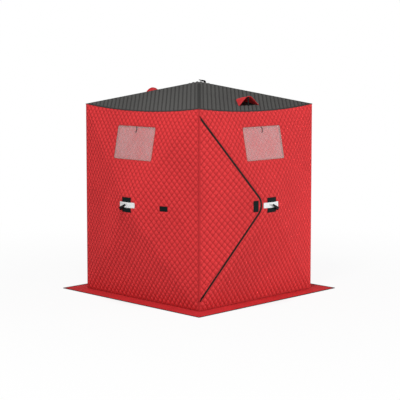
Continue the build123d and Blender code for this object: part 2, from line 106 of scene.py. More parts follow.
# ------------------------------------------------------------------ what a user would change
class ShelterSizes(bpy.types.PropertyGroup):
    half_width: FloatProperty(
        name="Half Width", description="From the middle of the shelter to the corner of a wall",
        default=WALL_HIGH[0], unit="LENGTH")
    corner_height: FloatProperty(
        name="Corner Height", description="Top corners of the walls above the ice",
        default=1.805, unit="LENGTH")
    hub_height: FloatProperty(
        name="Hub Height", description="Middle of each wall hub above the ice",
        default=WALL_HIGH[2], unit="LENGTH")
    bulge: FloatProperty(
        name="Bulge", description="How far a hub pushes its wall out",
        default=-WALL_LOW[1] - WALL_HIGH[0], unit="LENGTH")
    foot_height: FloatProperty(
        name="Foot Height", description="Bottom edge of the walls above the ice",
        default=WALL_LOW[2], unit="LENGTH")
    seam_sag: FloatProperty(
        name="Seam Sag", description="How far the seam under the roof hangs at its middle",
        default=0.046, unit="LENGTH")
    peak_height: FloatProperty(
        name="Peak Height", description="Where the four ridges of the roof would meet",
        default=2.018, unit="LENGTH")
    cap_height: FloatProperty(
        name="Cap Height", description="Flat top of the roof over its hub",
        default=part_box("left_roof_panel")[1][2], unit="LENGTH")
    cloth_thickness: FloatProperty(
        name="Cloth Thickness", description="Quilted cloth from face to lining",
        default=0.0045, unit="LENGTH")
    diamond_width: FloatProperty(
        name="Wall Diamond Width", description="Diamonds of the wall quilting, point to point across",
        default=0.0546, unit="LENGTH")
    door_diamond: FloatProperty(
        name="Door Diamond Width", description="Diamonds of the door quilting, point to point across",
        default=0.0602, unit="LENGTH")
    diamond_height: FloatProperty(
        name="Wall Diamond Height", description="Diamonds of the wall quilting, point to point upwards",
        default=0.0639, unit="LENGTH")
    roof_diamond: FloatProperty(
        name="Roof Diamond", description="Diamonds of the roof quilting, point to point",
        default=0.0535, unit="LENGTH")
    wall_pillow: FloatProperty(
        name="Wall Pillow", description="Height of the wall quilting above its stitches",
        default=0.0125, unit="LENGTH")
    roof_pillow: FloatProperty(
        name="Roof Pillow", description="Height of the roof quilting above its stitches",
        default=0.0110, unit="LENGTH")
    wall_steps: IntProperty(
        name="Wall Steps", description="Grid steps across one diamond of the walls",
        default=8, min=4, max=16)
    roof_steps: IntProperty(
        name="Roof Steps", description="Grid steps across one diamond of the roof",
        default=6, min=4, max=16)
    crease: FloatProperty(
        name="Crease Softness", description="How widely the cloth turns between two facets of a wall",
        default=0.06, min=0.0, max=0.3)
    skirt_width: FloatProperty(
        name="Skirt Width", description="Skirt on the ice, outwards from the wall",
        default=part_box("front_skirt")[1][0] - WALL_HIGH[0], unit="LENGTH")
    window_width: FloatProperty(
        name="Window Width", description="Clear opening of a window, across",
        default=extent("front_window", 0), unit="LENGTH")
    window_depth: FloatProperty(
        name="Window Depth", description="Clear opening of a window, down the slope of the wall",
        default=0.304, unit="LENGTH")
    window_drop: FloatProperty(
        name="Window Drop", description="Top edge of a window, down the slope from the corner level",
        default=0.193, unit="LENGTH")
    window_border: FloatProperty(
        name="Window Border", description="Film sewn on to the cloth round a window",
        default=0.002, unit="LENGTH")
    door_top: FloatProperty(
        name="Door Top", description="Upper end of the zip at the corner", default=1.745, unit="LENGTH")
    door_bottom: FloatProperty(
        name="Door Bottom", description="Lower end of the zip at the corner", default=0.076, unit="LENGTH")
    door_point: FloatProperty(
        name="Door Point", description="Where the two runs of the zip would meet, from the corner",
        default=0.712, unit="LENGTH")
    door_radius: FloatProperty(
        name="Door Radius", description="Round end of the door", default=0.126, unit="LENGTH")
    patch_width: FloatProperty(
        name="Hub Patch Width", description="Black patch over a hub", default=0.120, unit="LENGTH")
    patch_height: FloatProperty(
        name="Hub Patch Height", description="Black patch over a hub", default=extent("hub_patches", 2),
        unit="LENGTH")
    strap_length: FloatProperty(
        name="Hub Strap Length", description="Reflective strap over a hub patch",
        default=0.202, unit="LENGTH")
    strap_height: FloatProperty(
        name="Hub Strap Height", description="Reflective strap over a hub patch",
        default=extent("hub_straps", 2), unit="LENGTH")
    fitting_offset: FloatProperty(
        name="Fitting Offset", description="Patch and strap, towards the side of the hook",
        default=0.005, unit="LENGTH")
    tab_width: FloatProperty(
        name="Tab Width", description="Tie-back tab on the door", default=0.056, unit="LENGTH")
    tab_height: FloatProperty(
        name="Tab Height", description="Tie-back tab on the door",
        default=extent("door_tab", 2), unit="LENGTH")
    tab_place: FloatProperty(
        name="Tab Place", description="Middle of the tab from the corner", default=0.607, unit="LENGTH")
    tab_drop: FloatProperty(
        name="Tab Drop", description="Middle of the tab below the hubs", default=0.002, unit="LENGTH")
    stow_width: FloatProperty(
        name="Stow Patch Width", description="Patch that holds the rolled-up door",
        default=0.086, unit="LENGTH")
    stow_height: FloatProperty(
        name="Stow Patch Height", description="Patch that holds the rolled-up door",
        default=STOW_HIGH[2] - STOW_LOW[2], unit="LENGTH")
    stow_place: FloatProperty(
        name="Stow Patch Place", description="Middle of the patch from the corner",
        default=0.375, unit="LENGTH")
    stow_up: FloatProperty(
        name="Stow Patch Level", description="Middle of the patch above the ice",
        default=(STOW_LOW[2] + STOW_HIGH[2]) / 2, unit="LENGTH")
    hood_width: FloatProperty(
        name="Hood Width", description="Mouth of a vent hood, foot to foot", default=0.281, unit="LENGTH")
    hood_front: FloatProperty(
        name="Hood Front", description="Feet of a hood from the middle of the roof",
        default=0.653, unit="LENGTH")
    hood_back: FloatProperty(
        name="Hood Back", description="Point of a hood from the middle of the roof",
        default=0.485, unit="LENGTH")
    vent_width: FloatProperty(
        name="Vent Width", description="Opening in the roof under a hood", default=0.230, unit="LENGTH")
    vent_near: FloatProperty(
        name="Vent Near Edge", description="Eaves edge of the opening from the middle",
        default=0.640, unit="LENGTH")
    vent_far: FloatProperty(
        name="Vent Far Edge", description="Upper edge of the opening from the middle",
        default=0.520, unit="LENGTH")


class ShelterColours(bpy.types.PropertyGroup):
    wall_red: FloatVectorProperty(
        name="Wall Red", description="Quilted cloth of the walls", subtype="COLOR",
        size=3, min=0.0, max=1.0, default=(0.65, 0.038, 0.042))
    skirt_red: FloatVectorProperty(
        name="Skirt Red", description="Smooth cloth of the skirt and hoods", subtype="COLOR",
        size=3, min=0.0, max=1.0, default=(0.56, 0.028, 0.033))
    roof_grey: FloatVectorProperty(
        name="Roof Grey", description="Quilted cloth of the roof", subtype="COLOR",
        size=3, min=0.0, max=1.0, default=(0.080, 0.079, 0.076))
    lining: FloatVectorProperty(
        name="Lining", description="Inside of the cloth", subtype="COLOR",
        size=3, min=0.0, max=1.0, default=(0.045, 0.045, 0.048))
    black_cloth: FloatVectorProperty(
        name="Black Cloth", description="Patches, tab and bindings", subtype="COLOR",
        size=3, min=0.0, max=1.0, default=(0.0050, 0.0100, 0.0100))
    zip_green: FloatVectorProperty(
        name="Zip", description="Tape and coil of the zip", subtype="COLOR",
        size=3, min=0.0, max=1.0, default=(0.0030, 0.0120, 0.0100))
    strap_silver: FloatVectorProperty(
        name="Strap Silver", description="Reflective strap over the hubs", subtype="COLOR",
        size=3, min=0.0, max=1.0, default=(0.78, 0.80, 0.80))
    film_haze: FloatVectorProperty(
        name="Film Haze", description="Milky tint of the window film", subtype="COLOR",
        size=3, min=0.0, max=1.0, default=(0.66, 0.66, 0.66))
    plastic: FloatVectorProperty(
        name="Plastic", description="Hubs, sockets and hooks", subtype="COLOR",
        size=3, min=0.0, max=1.0, default=(0.0040, 0.0042, 0.0045))
    pole: FloatVectorProperty(
        name="Pole", description="Fibreglass rods", subtype="COLOR",
        size=3, min=0.0, max=1.0, default=(0.035, 0.037, 0.040))


def sizes():
    """The sizes of the scene's shelter."""
    return bpy.context.scene.ice_shelter_sizes


def colours():
    """The colours of the scene's shelter."""
    return bpy.context.scene.ice_shelter_colours


# ------------------------------------------------------------------ small tools
def smooth(x, low, high):
    """0 below low, 1 above high, and an even S-curve between them: t * t * (3 - 2 t)."""
    t = np.clip((x - low) / (high - low), 0.0, 1.0)
    return t * t * (3.0 - 2.0 * t)


def soft_least(a, b, soft):
    """The lesser of a and b, rounded off where they are nearer than soft: the least minus a quarter of
    soft times the square of how near they are."""
    near = np.clip(1.0 - np.abs(a - b) / np.maximum(soft, 1e-9), 0.0, 1.0)
    return np.minimum(a, b) - near * near * soft * 0.25


def boxed(x, y, half_x, half_y, radius):
    """Distance to a rectangle with rounded corners, below nothing inside it: the rectangle is drawn
    in by the radius, and the radius is taken off the distance to what is left."""
    out_x = np.abs(x) - (half_x - radius)
    out_y = np.abs(y) - (half_y - radius)
    away = np.hypot(np.maximum(out_x, 0.0), np.maximum(out_y, 0.0))
    return away + np.minimum(np.maximum(out_x, out_y), 0.0) - radius


def turned(points, wall):
    """Points of the front wall, turned about the upright middle line of the shelter to another wall."""
    angle = QUARTER_TURNS[wall] * math.pi / 2
    c, s = round(math.cos(angle)), round(math.sin(angle))
    x, y, z = points[..., 0], points[..., 1], points[..., 2]
    return np.stack([c * x - s * y, s * x + c * y, z], axis=-1)


def put(name, points, faces, uv, finishes, values=None):
    """A mesh object from whole arrays: points (n, 3), faces a list of (m, 3) or (m, 4) arrays of point
    numbers, uv one pair for each point, the names of its finishes, and named values for each point."""
    mesh = bpy.data.meshes.new(name)
    points = np.asarray(points, dtype=np.float64).reshape(-1, 3)
    faces = [np.asarray(f, dtype=np.int64) for f in faces if len(f)]
    corners = np.concatenate([f.ravel() for f in faces])
    widths = np.concatenate([np.full(len(f), f.shape[1]) for f in faces])
    starts = np.concatenate([[0], np.cumsum(widths)[:-1]])
    mesh.vertices.add(len(points))
    mesh.vertices.foreach_set("co", points.ravel())
    mesh.loops.add(len(corners))
    mesh.loops.foreach_set("vertex_index", corners.astype(np.int32))
    mesh.polygons.add(len(starts))
    mesh.polygons.foreach_set("loop_start", starts.astype(np.int32))
    mesh.polygons.foreach_set("use_smooth", np.ones(len(starts), dtype=bool))
    mesh.update(calc_edges=True)
    if uv is not None:
        layer = mesh.uv_layers.new(name="cloth")
        layer.data.foreach_set("uv", np.asarray(uv, dtype=np.float64).reshape(-1, 2)[corners].ravel())
    for key, value in (values or {}).items():
        made = mesh.attributes.new(key, "FLOAT", "POINT")
        made.data.foreach_set("value", np.asarray(value, dtype=np.float64).ravel())
    mesh.validate()
    for finish in finishes:
        mesh.materials.append(finish_called(finish))
    made = bpy.data.objects.new(name, mesh)
    bpy.context.scene.collection.objects.link(made)
    return made


def thicken(piece, thickness, lined=False):
    """Gives a sheet its thickness, inwards from the face."""
    solid = piece.modifiers.new("Thickness", "SOLIDIFY")
    solid.thickness = thickness
    solid.offset = -1.0
    solid.use_even_offset = False
    if lined:
        solid.material_offset = 1
    return piece


def cut_cloth(columns, rows, outline, lattice=None):
    """Points and triangles of a cloth cut to an outline. The grid of columns and rows keeps each cell
    that has a corner inside the outline, and a corner outside it slides along the outline's gradient on
    to its edge. With a lattice (a, b), which are whole numbers on the stitch lines, each cell is split
    along the stitch line that crosses it."""
    x, y = np.meshgrid(columns, rows)
    first = outline(x, y)
    inside = first < 0.0
    step = 1e-5
    for _ in range(4):
        far = np.maximum(outline(x, y), 0.0)
        slope_x = (outline(x + step, y) - outline(x - step, y)) / (2 * step)
        slope_y = (outline(x, y + step) - outline(x, y - step)) / (2 * step)
        size = np.maximum(slope_x**2 + slope_y**2, 0.05)
        x = x - far * slope_x / size
        y = y - far * slope_y / size
    rows_n, columns_n = first.shape
    number = np.arange(rows_n * columns_n).reshape(rows_n, columns_n)
    c00, c10 = number[:-1, :-1], number[:-1, 1:]
    c01, c11 = number[1:, :-1], number[1:, 1:]
    kept = inside[:-1, :-1] | inside[:-1, 1:] | inside[1:, :-1] | inside[1:, 1:]
    if lattice is None:
        falling = np.zeros(kept.shape, dtype=bool)
    else:
        mid_x, mid_y = np.meshgrid((columns[:-1] + columns[1:]) / 2, (rows[:-1] + rows[1:]) / 2)
        a, b = lattice(mid_x, mid_y)
        falling = np.abs(a - np.round(a)) < np.abs(b - np.round(b))
    rising_cells, falling_cells = kept & ~falling, kept & falling
    triangles = np.concatenate([
        np.stack([c00[rising_cells], c10[rising_cells], c11[rising_cells]], axis=-1),
        np.stack([c00[rising_cells], c11[rising_cells], c01[rising_cells]], axis=-1),
        np.stack([c00[falling_cells], c10[falling_cells], c01[falling_cells]], axis=-1),
        np.stack([c10[falling_cells], c11[falling_cells], c01[falling_cells]], axis=-1),
    ])
    x, y = x.ravel(), y.ravel()
    px, py = x[triangles], y[triangles]
    area = (px[:, 1] - px[:, 0]) * (py[:, 2] - py[:, 0]) - (px[:, 2] - px[:, 0]) * (py[:, 1] - py[:, 0])
    triangles = triangles[area > 1e-9]
    used, triangles = np.unique(triangles, return_inverse=True)
    return x[used], y[used], triangles.reshape(-1, 3)


def carried(path, side, up, profile, closed_path=False):
    """A closed profile carried along a path. Each point is the path's, plus the side vector times the
    profile's first number, plus the up vector times its second. The ends are closed with a fan."""
    n, m = len(path), np.shape(profile)[-2]
    profile = np.broadcast_to(profile, (n, m, 2))
    points = path[:, None, :] + side[:, None, :] * profile[..., :1] + up[:, None, :] * profile[..., 1:]
    number = np.arange(n * m).reshape(n, m)
    here = number if closed_path else number[:-1]
    there = np.roll(number, -1, axis=0) if closed_path else number[1:]
    corners = [here, np.roll(here, -1, axis=1), np.roll(there, -1, axis=1), there]
    faces = [np.stack(corners, axis=-1).reshape(-1, 4)]
    if not closed_path:
        first, last = number[0], number[-1]
        faces.append(np.stack([np.full(m - 2, first[0]), first[2:], first[1:-1]], axis=-1))
        faces.append(np.stack([np.full(m - 2, last[0]), last[1:-1], last[2:]], axis=-1))
    return points.reshape(-1, 3), faces


def grid_faces(rows, columns):
    """Four-cornered faces of a grid whose points are numbered row by row."""
    number = np.arange(rows * columns).reshape(rows, columns)
    corners = [number[:-1, :-1], number[1:, :-1], number[1:, 1:], number[:-1, 1:]]
    return np.stack(corners, axis=-1).reshape(-1, 4)


def profile_uv(count, step, along):
    """The uv of a carried profile: a step across for each of its points, and the distance along."""
    return np.stack([np.tile(np.arange(count) * step, len(along)), np.repeat(along, count)], axis=-1)


def joined(parts):
    """Several carried profiles as one mesh. Each part is its points, its faces, which are those of its
    sides and then its end fans, and its uv."""
    points, sides, fans, uv, count = [], [], [], [], 0
    for part, faces, part_uv in parts:
        points.append(part)
        sides.append(faces[0] + count)
        fans += [fan + count for fan in faces[1:]]
        uv.append(part_uv)
        count += len(part)
    faces = [np.concatenate(kind) for kind in (sides, fans) if kind]
    return np.concatenate(points), faces, np.concatenate(uv)


def oval(width, height, count=12, power=2.0):
    """A closed oval profile: cosine and sine, each raised to two over the power."""
    angle = np.arange(count) * 2 * math.pi / count
    c, s = np.cos(angle), np.sin(angle)
    return np.stack([
        width / 2 * np.sign(c) * np.abs(c) ** (2 / power),
        height / 2 * np.sign(s) * np.abs(s) ** (2 / power)], axis=-1)


# ------------------------------------------------------------------ the shape of the cloth
def side_tilt():
    """Angle of a side facet to the plane through the wall's corners."""
    size = sizes()
    return math.atan2(size.bulge, size.half_width)


def top_tilt():
    """Angle of the top facet to upright."""
    size = sizes()
    return math.atan2(size.bulge, size.corner_height - size.hub_height)


def sag(across):
    """Drop of the roof seam down the slope of the wall: an arc through both corners and the lowest point."""
    size = sizes()
    radius = (size.half_width**2 + size.seam_sag**2) / (2 * size.seam_sag)
    lowest = size.seam_sag - radius
    return np.sqrt(np.maximum(radius**2 - across**2, 0.0)) + lowest


def seam_height(across):
    """Height of the roof seam: the corner height less the sag, down the slope of the top facet."""
    size = sizes()
    return size.corner_height - np.maximum(sag(across), 0.0) * math.cos(top_tilt())


def wall_out(u, z):
    """How far a wall stands out from the plane through its corners: the least of a slope from each
    side, from the top and from the foot, all rising to the bulge at the hub, with rounded creases."""
    size = sizes()
    side = 1.0 - np.abs(u) / size.half_width
    top = (size.corner_height - z) / (size.corner_height - size.hub_height)
    foot = (z - size.foot_height) / (size.hub_height - size.foot_height)
    least = np.minimum(side, np.minimum(top, foot))
    soft = size.crease * smooth(least, 0.0, 0.15)
    return size.bulge * soft_least(soft_least(top, foot, soft), side, soft)


def wall_lattice(u, z):
    """Whole numbers on the two families of stitch lines of the walls: the sum and the difference of the
    distance across over a diamond's width and the height over a diamond's height."""
    size = sizes()
    return u / size.diamond_width + z / size.diamond_height, u / size.diamond_width - z / size.diamond_height


def door_lattice(u, z):
    """The same for the door, whose diamonds are wider."""
    size = sizes()
    return u / size.door_diamond + z / size.diamond_height, u / size.door_diamond - z / size.diamond_height


def roof_lattice(x, y):
    """Whole numbers on the two families of stitch lines of the roof, which run along the ridges."""
    size = sizes()
    return (x + y) / size.roof_diamond, (x - y) / size.roof_diamond


def pillow(a, b):
    """Height of the quilting from 0 on a stitch line to 1 in the middle of a diamond: the product of
    the two sines, with its foot drawn steeply to the stitches."""
    wave = np.abs(np.sin(math.pi * a)) * np.abs(np.sin(math.pi * b))
    return wave**0.62


def slack(u, z):
    """Long shallow waves in stretched cloth: three sines of the place."""
    return 0.0011 * (np.sin(5.1 * u + 3.7 * z + 0.6) + 0.7 * np.sin(9.3 * u - 6.1 * z + 2.1)
                     + 0.5 * np.sin(3.3 * u + 13.0 * z))


def top_facet_out(z):
    """How far the top facet of a wall stands out from the plane through its corners, at a height."""
    size = sizes()
    return size.bulge * (size.corner_height - z) / (size.corner_height - size.hub_height)


def window_edge(u, z):
    """Distance to a window's opening, from the middle of the window, down the slope of the top facet."""
    size = sizes()
    down = (size.corner_height - z) / math.cos(top_tilt())
    middle = size.window_drop + size.window_depth / 2
    return boxed(u, down - middle, size.window_width / 2, size.window_depth / 2, 0.012)


def door_run():
    """The upper straight run of the doorway: its outward direction, across and up, and the middle of
    the round end, from the corner."""
    size = sizes()
    half = (size.door_top - size.door_bottom) / 2
    long = math.hypot(size.door_point, half)
    nx, nz = half / long, size.door_point / long
    return nx, nz, size.door_point - size.door_radius / nx


def door_edge(p, z):
    """Distance to the doorway's outline, where p is the distance from the corner along the facet: the
    farther of two straight runs, with a round end where they would meet."""
    size = sizes()
    nx, nz, centre = door_run()
    up = np.abs(z - (size.door_top + size.door_bottom) / 2)
    run = nx * (p - size.door_point) + nz * up
    vx, vz = p - centre, up
    round_end = np.hypot(vx, vz) - size.door_radius
    return np.where(nx * vz - nz * vx < 0.0, round_end, run)


def along_facet(u):
    """Distance from the left corner along the door's facet."""
    return (u + sizes().half_width) / math.cos(side_tilt())


def patch_edge(u, z, hand, grow=0.0):
    """Distance to the hub patch and strap together."""
    size = sizes()
    off = u - hand * size.fitting_offset
    up = z - size.hub_height
    patch = boxed(off, up, size.patch_width / 2 + grow, size.patch_height / 2 + grow, 0.006)
    strap = boxed(off, up, size.strap_length / 2 + grow, size.strap_height / 2 + grow, 0.004)
    return np.minimum(patch, strap)


def quilt_strength(u, z, wall):
    """How full the quilting is: nothing on the seams and bindings and under what is sewn on, and full
    a finger's width away."""
    size = sizes()
    full = smooth(size.half_width - np.abs(u), *CORNER_FADE)
    full = full * smooth(seam_height(u) - z, *WALL_SEAM_FADE)
    full = full * smooth(z - size.foot_height, *WALL_SEAM_FADE)
    full = full * smooth(window_edge(u, z), *WINDOW_FADE)
    full = full * smooth(patch_edge(u, z, HAND[wall]), *HUB_PATCH_FADE)
    if wall == "front":
        p = along_facet(u)
        full = full * smooth(np.abs(door_edge(p, z) + DOOR_SEAM_MIDDLE), *DOOR_SEAM_FADE)
        tab = boxed(p - size.tab_place, z - size.hub_height + size.tab_drop,
                    size.tab_width / 2, size.tab_height / 2, 0.004)
        full = full * smooth(tab, *SMALL_PATCH_FADE)
    if wall == "left":
        place = size.half_width - size.stow_place * math.cos(side_tilt())
        patch = boxed(u - place, z - size.stow_up, size.stow_width / 2, size.stow_height / 2, 0.004)
        full = full * smooth(patch, *SMALL_PATCH_FADE)
    return full


def wall_points(u, z, wall, lift=0.0, lattice=wall_lattice):
    """Points on the outside of a wall: out by the facets, the slack and the quilting, and lifted off it."""
    size = sizes()
    out = wall_out(u, z)
    strength = quilt_strength(u, z, wall)
    raised = pillow(*lattice(u, z)) * strength
    out = out + size.wall_pillow * (raised - PILLOW_SUNK * strength)
    calm = smooth(size.half_width - np.abs(u), 0.0, 0.25) * smooth(seam_height(u) - z, 0.0, 0.2)
    calm = calm * smooth(z - size.foot_height, 0.0, 0.2) * smooth(window_edge(u, z), 0.0, 0.1)
    calm = calm * smooth(patch_edge(u, z, HAND[wall]), 0.0, 0.1)
    if wall == "front":
        calm = calm * smooth(-door_edge(along_facet(u), z) - 0.005, 0.0, 0.08) + calm * smooth(
            door_edge(along_facet(u), z), 0.0, 0.08)
    out = out + slack(u, z) * calm
    points = np.stack([u, -(size.half_width + out + lift), z], axis=-1)
    return turned(points, wall), raised


def stitched(raised, lattice):
    """What a quilted finish reads at each point: the pillow's height and the place between stitch lines."""
    return {"raised": raised, "falling": lattice[0], "rising": lattice[1]}


def lattice_lines(low, high, step):
    """Grid lines on whole steps that cover a range."""
    return np.arange(math.floor(low / step), math.ceil(high / step) + 1) * step


# ------------------------------------------------------------------ finishes
class Finish:
    """A node material with a Principled shader, and short calls for the nodes that feed it."""

    def __init__(self, name):
        self.material = bpy.data.materials.new(name)
        self.material.use_nodes = True
        self.tree = self.material.node_tree
        self.shader = self.tree.nodes["Principled BSDF"]

    def node(self, kind, **fields):
        made = self.tree.nodes.new(kind)
        for key, value in fields.items():
            setattr(made, key, value)
        return made

    def link(self, source, target):
        self.tree.links.new(source, target)

    def feed(self, socket, value):
        if hasattr(value, "is_output"):
            self.link(value, socket)
        else:
            socket.default_value = value

    def sum(self, kind, *values):
        made = self.node("ShaderNodeMath", operation=kind)
        for socket, value in zip(made.inputs, values):
            self.feed(socket, value)
        return made.outputs[0]

    def span(self, value, low, high, to_low=0.0, to_high=1.0):
        made = self.node("ShaderNodeMapRange", interpolation_type="SMOOTHSTEP")
        names = ("Value", "From Min", "From Max", "To Min", "To Max")
        for key, number in zip(names, (value, low, high, to_low, to_high)):
            self.feed(made.inputs[key], number)
        return made.outputs["Result"]

    def noise(self, scale, detail=2.0, rough=0.5, place=None):
        made = self.node("ShaderNodeTexNoise")
        made.inputs["Scale"].default_value = scale
        made.inputs["Detail"].default_value = detail
        made.inputs["Roughness"].default_value = rough
        self.link(place or self.place(), made.inputs["Vector"])
        return made.outputs["Fac"]

    def place(self):
        if not hasattr(self, "_place"):
            self._place = self.node("ShaderNodeTexCoord").outputs["Object"]
        return self._place

    def uv(self):
        if not hasattr(self, "_uv"):
            parts = self.node("ShaderNodeSeparateXYZ")
            self.link(self.node("ShaderNodeUVMap", uv_map="cloth").outputs[0], parts.inputs[0])
            self._uv = parts.outputs[0], parts.outputs[1]
        return self._uv

    def value(self, key):
        return self.node("ShaderNodeAttribute", attribute_name=key).outputs["Fac"]

    def blend(self, factor, low, high, kind="MIX"):
        made = self.node("ShaderNodeMix", data_type="RGBA", blend_type=kind)
        self.feed(made.inputs["Factor"], factor)
        self.feed(made.inputs[6], low)
        self.feed(made.inputs[7], high)
        return made.outputs[2]

    def shaded(self, colour, shade):
        """A colour made lighter or darker from place to place."""
        grey = self.node("ShaderNodeCombineColor")
        for socket in grey.inputs[:3]:
            self.link(shade, socket)
        return self.blend(1.0, tint(colour), grey.outputs[0], "MULTIPLY")

    def bump(self, height, strength, distance, after=None):
        made = self.node("ShaderNodeBump")
        made.inputs["Strength"].default_value = strength
        made.inputs["Distance"].default_value = distance
        self.feed(made.inputs["Height"], height)
        if after is not None:
            self.link(after, made.inputs["Normal"])
        return made.outputs["Normal"]

    def set(self, **numbers):
        for key, value in numbers.items():
            self.feed(self.shader.inputs[key.replace("_", " ")], value)


def tint(colour, times=1.0):
    """A colour with its fourth number, made lighter or darker."""
    return tuple(min(1.0, c * times) for c in colour) + (1.0,)


def weave(finish, pitch):
    """Plain weave: the sine across times the sine along, so threads rise in turn."""
    u, v = finish.uv()
    across = finish.sum("SINE", finish.sum("MULTIPLY", u, 2 * math.pi / pitch))
    along = finish.sum("SINE", finish.sum("MULTIPLY", v, 2 * math.pi / pitch))
    return finish.sum("MULTIPLY", across, along)


def quilted_finish(name, colour, groove_shade, rough=0.8):
    """Quilted outdoor cloth: painted shade that darkens the colour into the stitch lines, thread dashes along
    them, a fine weave, and slow fading from place to place."""
    finish = Finish(name)
    raised = finish.value("raised")
    slow = finish.span(finish.noise(2.3, 3.0), 0.3, 0.7, 0.95, 1.04)
    fine = finish.span(finish.noise(140.0, 2.0), 0.3, 0.7, 0.96, 1.03)
    # painted shade: the colour darkens into the stitch lines, where the quilting dips
    painted_groove_shade = finish.span(raised, 0.05, 0.60, groove_shade, 1.0)
    shade = finish.sum("MULTIPLY", finish.sum("MULTIPLY", slow, fine), painted_groove_shade)
    base = finish.shaded(colour, shade)
    falling, rising = finish.value("falling"), finish.value("rising")
    threads = []
    for line, run in ((falling, rising), (rising, falling)):
        gap = finish.sum("ABSOLUTE", finish.sum("SUBTRACT", line, finish.sum("ROUND", line)))
        near = finish.span(gap, 0.010, 0.022, 1.0, 0.0)
        dash = finish.sum("ABSOLUTE", finish.sum("SINE", finish.sum("MULTIPLY", run, math.pi * 11)))
        threads.append(finish.sum("MULTIPLY", near, finish.span(dash, 0.25, 0.6)))
    thread = finish.sum("MAXIMUM", threads[0], threads[1])
    coloured = finish.blend(finish.sum("MULTIPLY", thread, 0.35), base, tint(colour, 0.62))
    finish.link(coloured, finish.shader.inputs["Base Color"])
    woven = finish.bump(weave(finish, 0.0016), 0.25, 0.0003)
    sewn = finish.bump(thread, 0.5, 0.0006, woven)
    crumpled = finish.bump(finish.noise(55.0, 3.0), 0.25, 0.0012, sewn)
    finish.link(crumpled, finish.shader.inputs["Normal"])
    finish.link(finish.span(raised, 0.0, 0.8, min(1.0, rough + 0.1), rough),
                finish.shader.inputs["Roughness"])
    finish.shader.inputs["Specular IOR Level"].default_value = 0.15
    return finish.material


def plain_finish(name, colour, pitch=0.0014, rough=0.75, wear=0.08, crumple=0.3, specular=0.2):
    """Plain woven cloth or webbing: weave, light creasing and slow fading."""
    finish = Finish(name)
    slow = finish.noise(7.0, 4.0, 0.6)
    fine = finish.noise(210.0, 2.0)
    shade = finish.sum("MULTIPLY", finish.span(slow, 0.25, 0.75, 1.0 - wear, 1.0 + wear),
                       finish.span(fine, 0.3, 0.7, 0.95, 1.04))
    finish.link(finish.shaded(colour, shade), finish.shader.inputs["Base Color"])
    woven = finish.bump(weave(finish, pitch), 0.35, 0.0004)
    creased = finish.bump(finish.noise(38.0, 4.0), crumple, 0.0020, woven)
    finish.link(creased, finish.shader.inputs["Normal"])
    finish.link(finish.span(fine, 0.2, 0.8, rough - 0.06, rough + 0.06), finish.shader.inputs["Roughness"])
    finish.shader.inputs["Specular IOR Level"].default_value = specular
    return finish.material


def moulded_finish(name, colour, rough=0.55):
    """Moulded plastic: a faint orange-peel, scuffs and uneven gloss."""
    finish = Finish(name)
    peel = finish.noise(420.0, 2.0)
    scuff = finish.noise(26.0, 5.0, 0.65)
    finish.link(finish.blend(finish.span(scuff, 0.55, 0.75, 0.0, 0.5), tint(colour), tint(colour, 2.2)),
                finish.shader.inputs["Base Color"])
    finish.link(finish.span(scuff, 0.3, 0.7, rough - 0.08, rough + 0.14), finish.shader.inputs["Roughness"])
    finish.link(finish.bump(peel, 0.2, 0.0003), finish.shader.inputs["Normal"])
    finish.shader.inputs["Specular IOR Level"].default_value = 0.08
    return finish.material


def finish_called(name):
    """A shared finish, made the first time it is asked for."""
    full = "shelter_" + name
    if full in bpy.data.materials:
        return bpy.data.materials[full]
    colour = colours()
    makers = {
        # the groove number of a quilted finish is how dark its painted shade in the stitch lines goes
        "red_quilting": lambda: quilted_finish(full, colour.wall_red, groove_shade=0.76),
        "grey_quilting": lambda: quilted_finish(full, colour.roof_grey, groove_shade=0.45),
        "lining": lambda: plain_finish(full, colour.lining, rough=0.62),
        "red_cloth": lambda: plain_finish(full, colour.skirt_red, rough=0.75, specular=0.15),
        "tie_cloth": lambda: plain_finish(full, tuple(6.0 * c for c in colour.black_cloth), wear=0.15),
        "black_cloth": lambda: plain_finish(full, colour.black_cloth, pitch=0.0022, wear=0.18, specular=0.08),
        "zip": lambda: plain_finish(
            full, colour.zip_green, pitch=0.0012, rough=0.6, wear=0.15, crumple=0.1, specular=0.10),
        "black_plastic": lambda: moulded_finish(full, colour.plastic),
        "fibreglass": lambda: moulded_finish(full, colour.pole, 0.3),
        "reflective_strap": lambda: strap_finish(full, colour.strap_silver),
        "window_film": lambda: film_finish(full, colour.film_haze),
        "mesh": lambda: mesh_finish(full, colour.black_cloth),
    }
    return makers[name]()


def strap_finish(name, colour):
    """Reflective webbing: silver cloth pressed with a fine net of small cells."""
    finish = Finish(name)
    u, v = finish.uv()
    cells = finish.node("ShaderNodeTexVoronoi", feature="DISTANCE_TO_EDGE")
    joined = finish.node("ShaderNodeCombineXYZ")
    finish.link(u, joined.inputs[0])
    finish.link(v, joined.inputs[1])
    finish.link(joined.outputs[0], cells.inputs["Vector"])
    cells.inputs["Scale"].default_value = 420.0
    cells.inputs["Randomness"].default_value = 0.25
    edge = finish.span(cells.outputs["Distance"], 0.02, 0.10)
    slow = finish.noise(30.0, 3.0)
    worn = finish.span(slow, 0.3, 0.7, 0.0, 0.5)
    base = finish.blend(edge, tint(colour, 0.80), tint(colour))
    finish.link(finish.blend(worn, base, tint(colour, 0.90)), finish.shader.inputs["Base Color"])
    finish.link(finish.bump(edge, 0.3, 0.0002), finish.shader.inputs["Normal"])
    finish.link(finish.span(slow, 0.3, 0.7, 0.55, 0.68), finish.shader.inputs["Roughness"])
    finish.shader.inputs["Metallic"].default_value = 0.05
    finish.shader.inputs["Specular IOR Level"].default_value = 0.2
    return finish.material


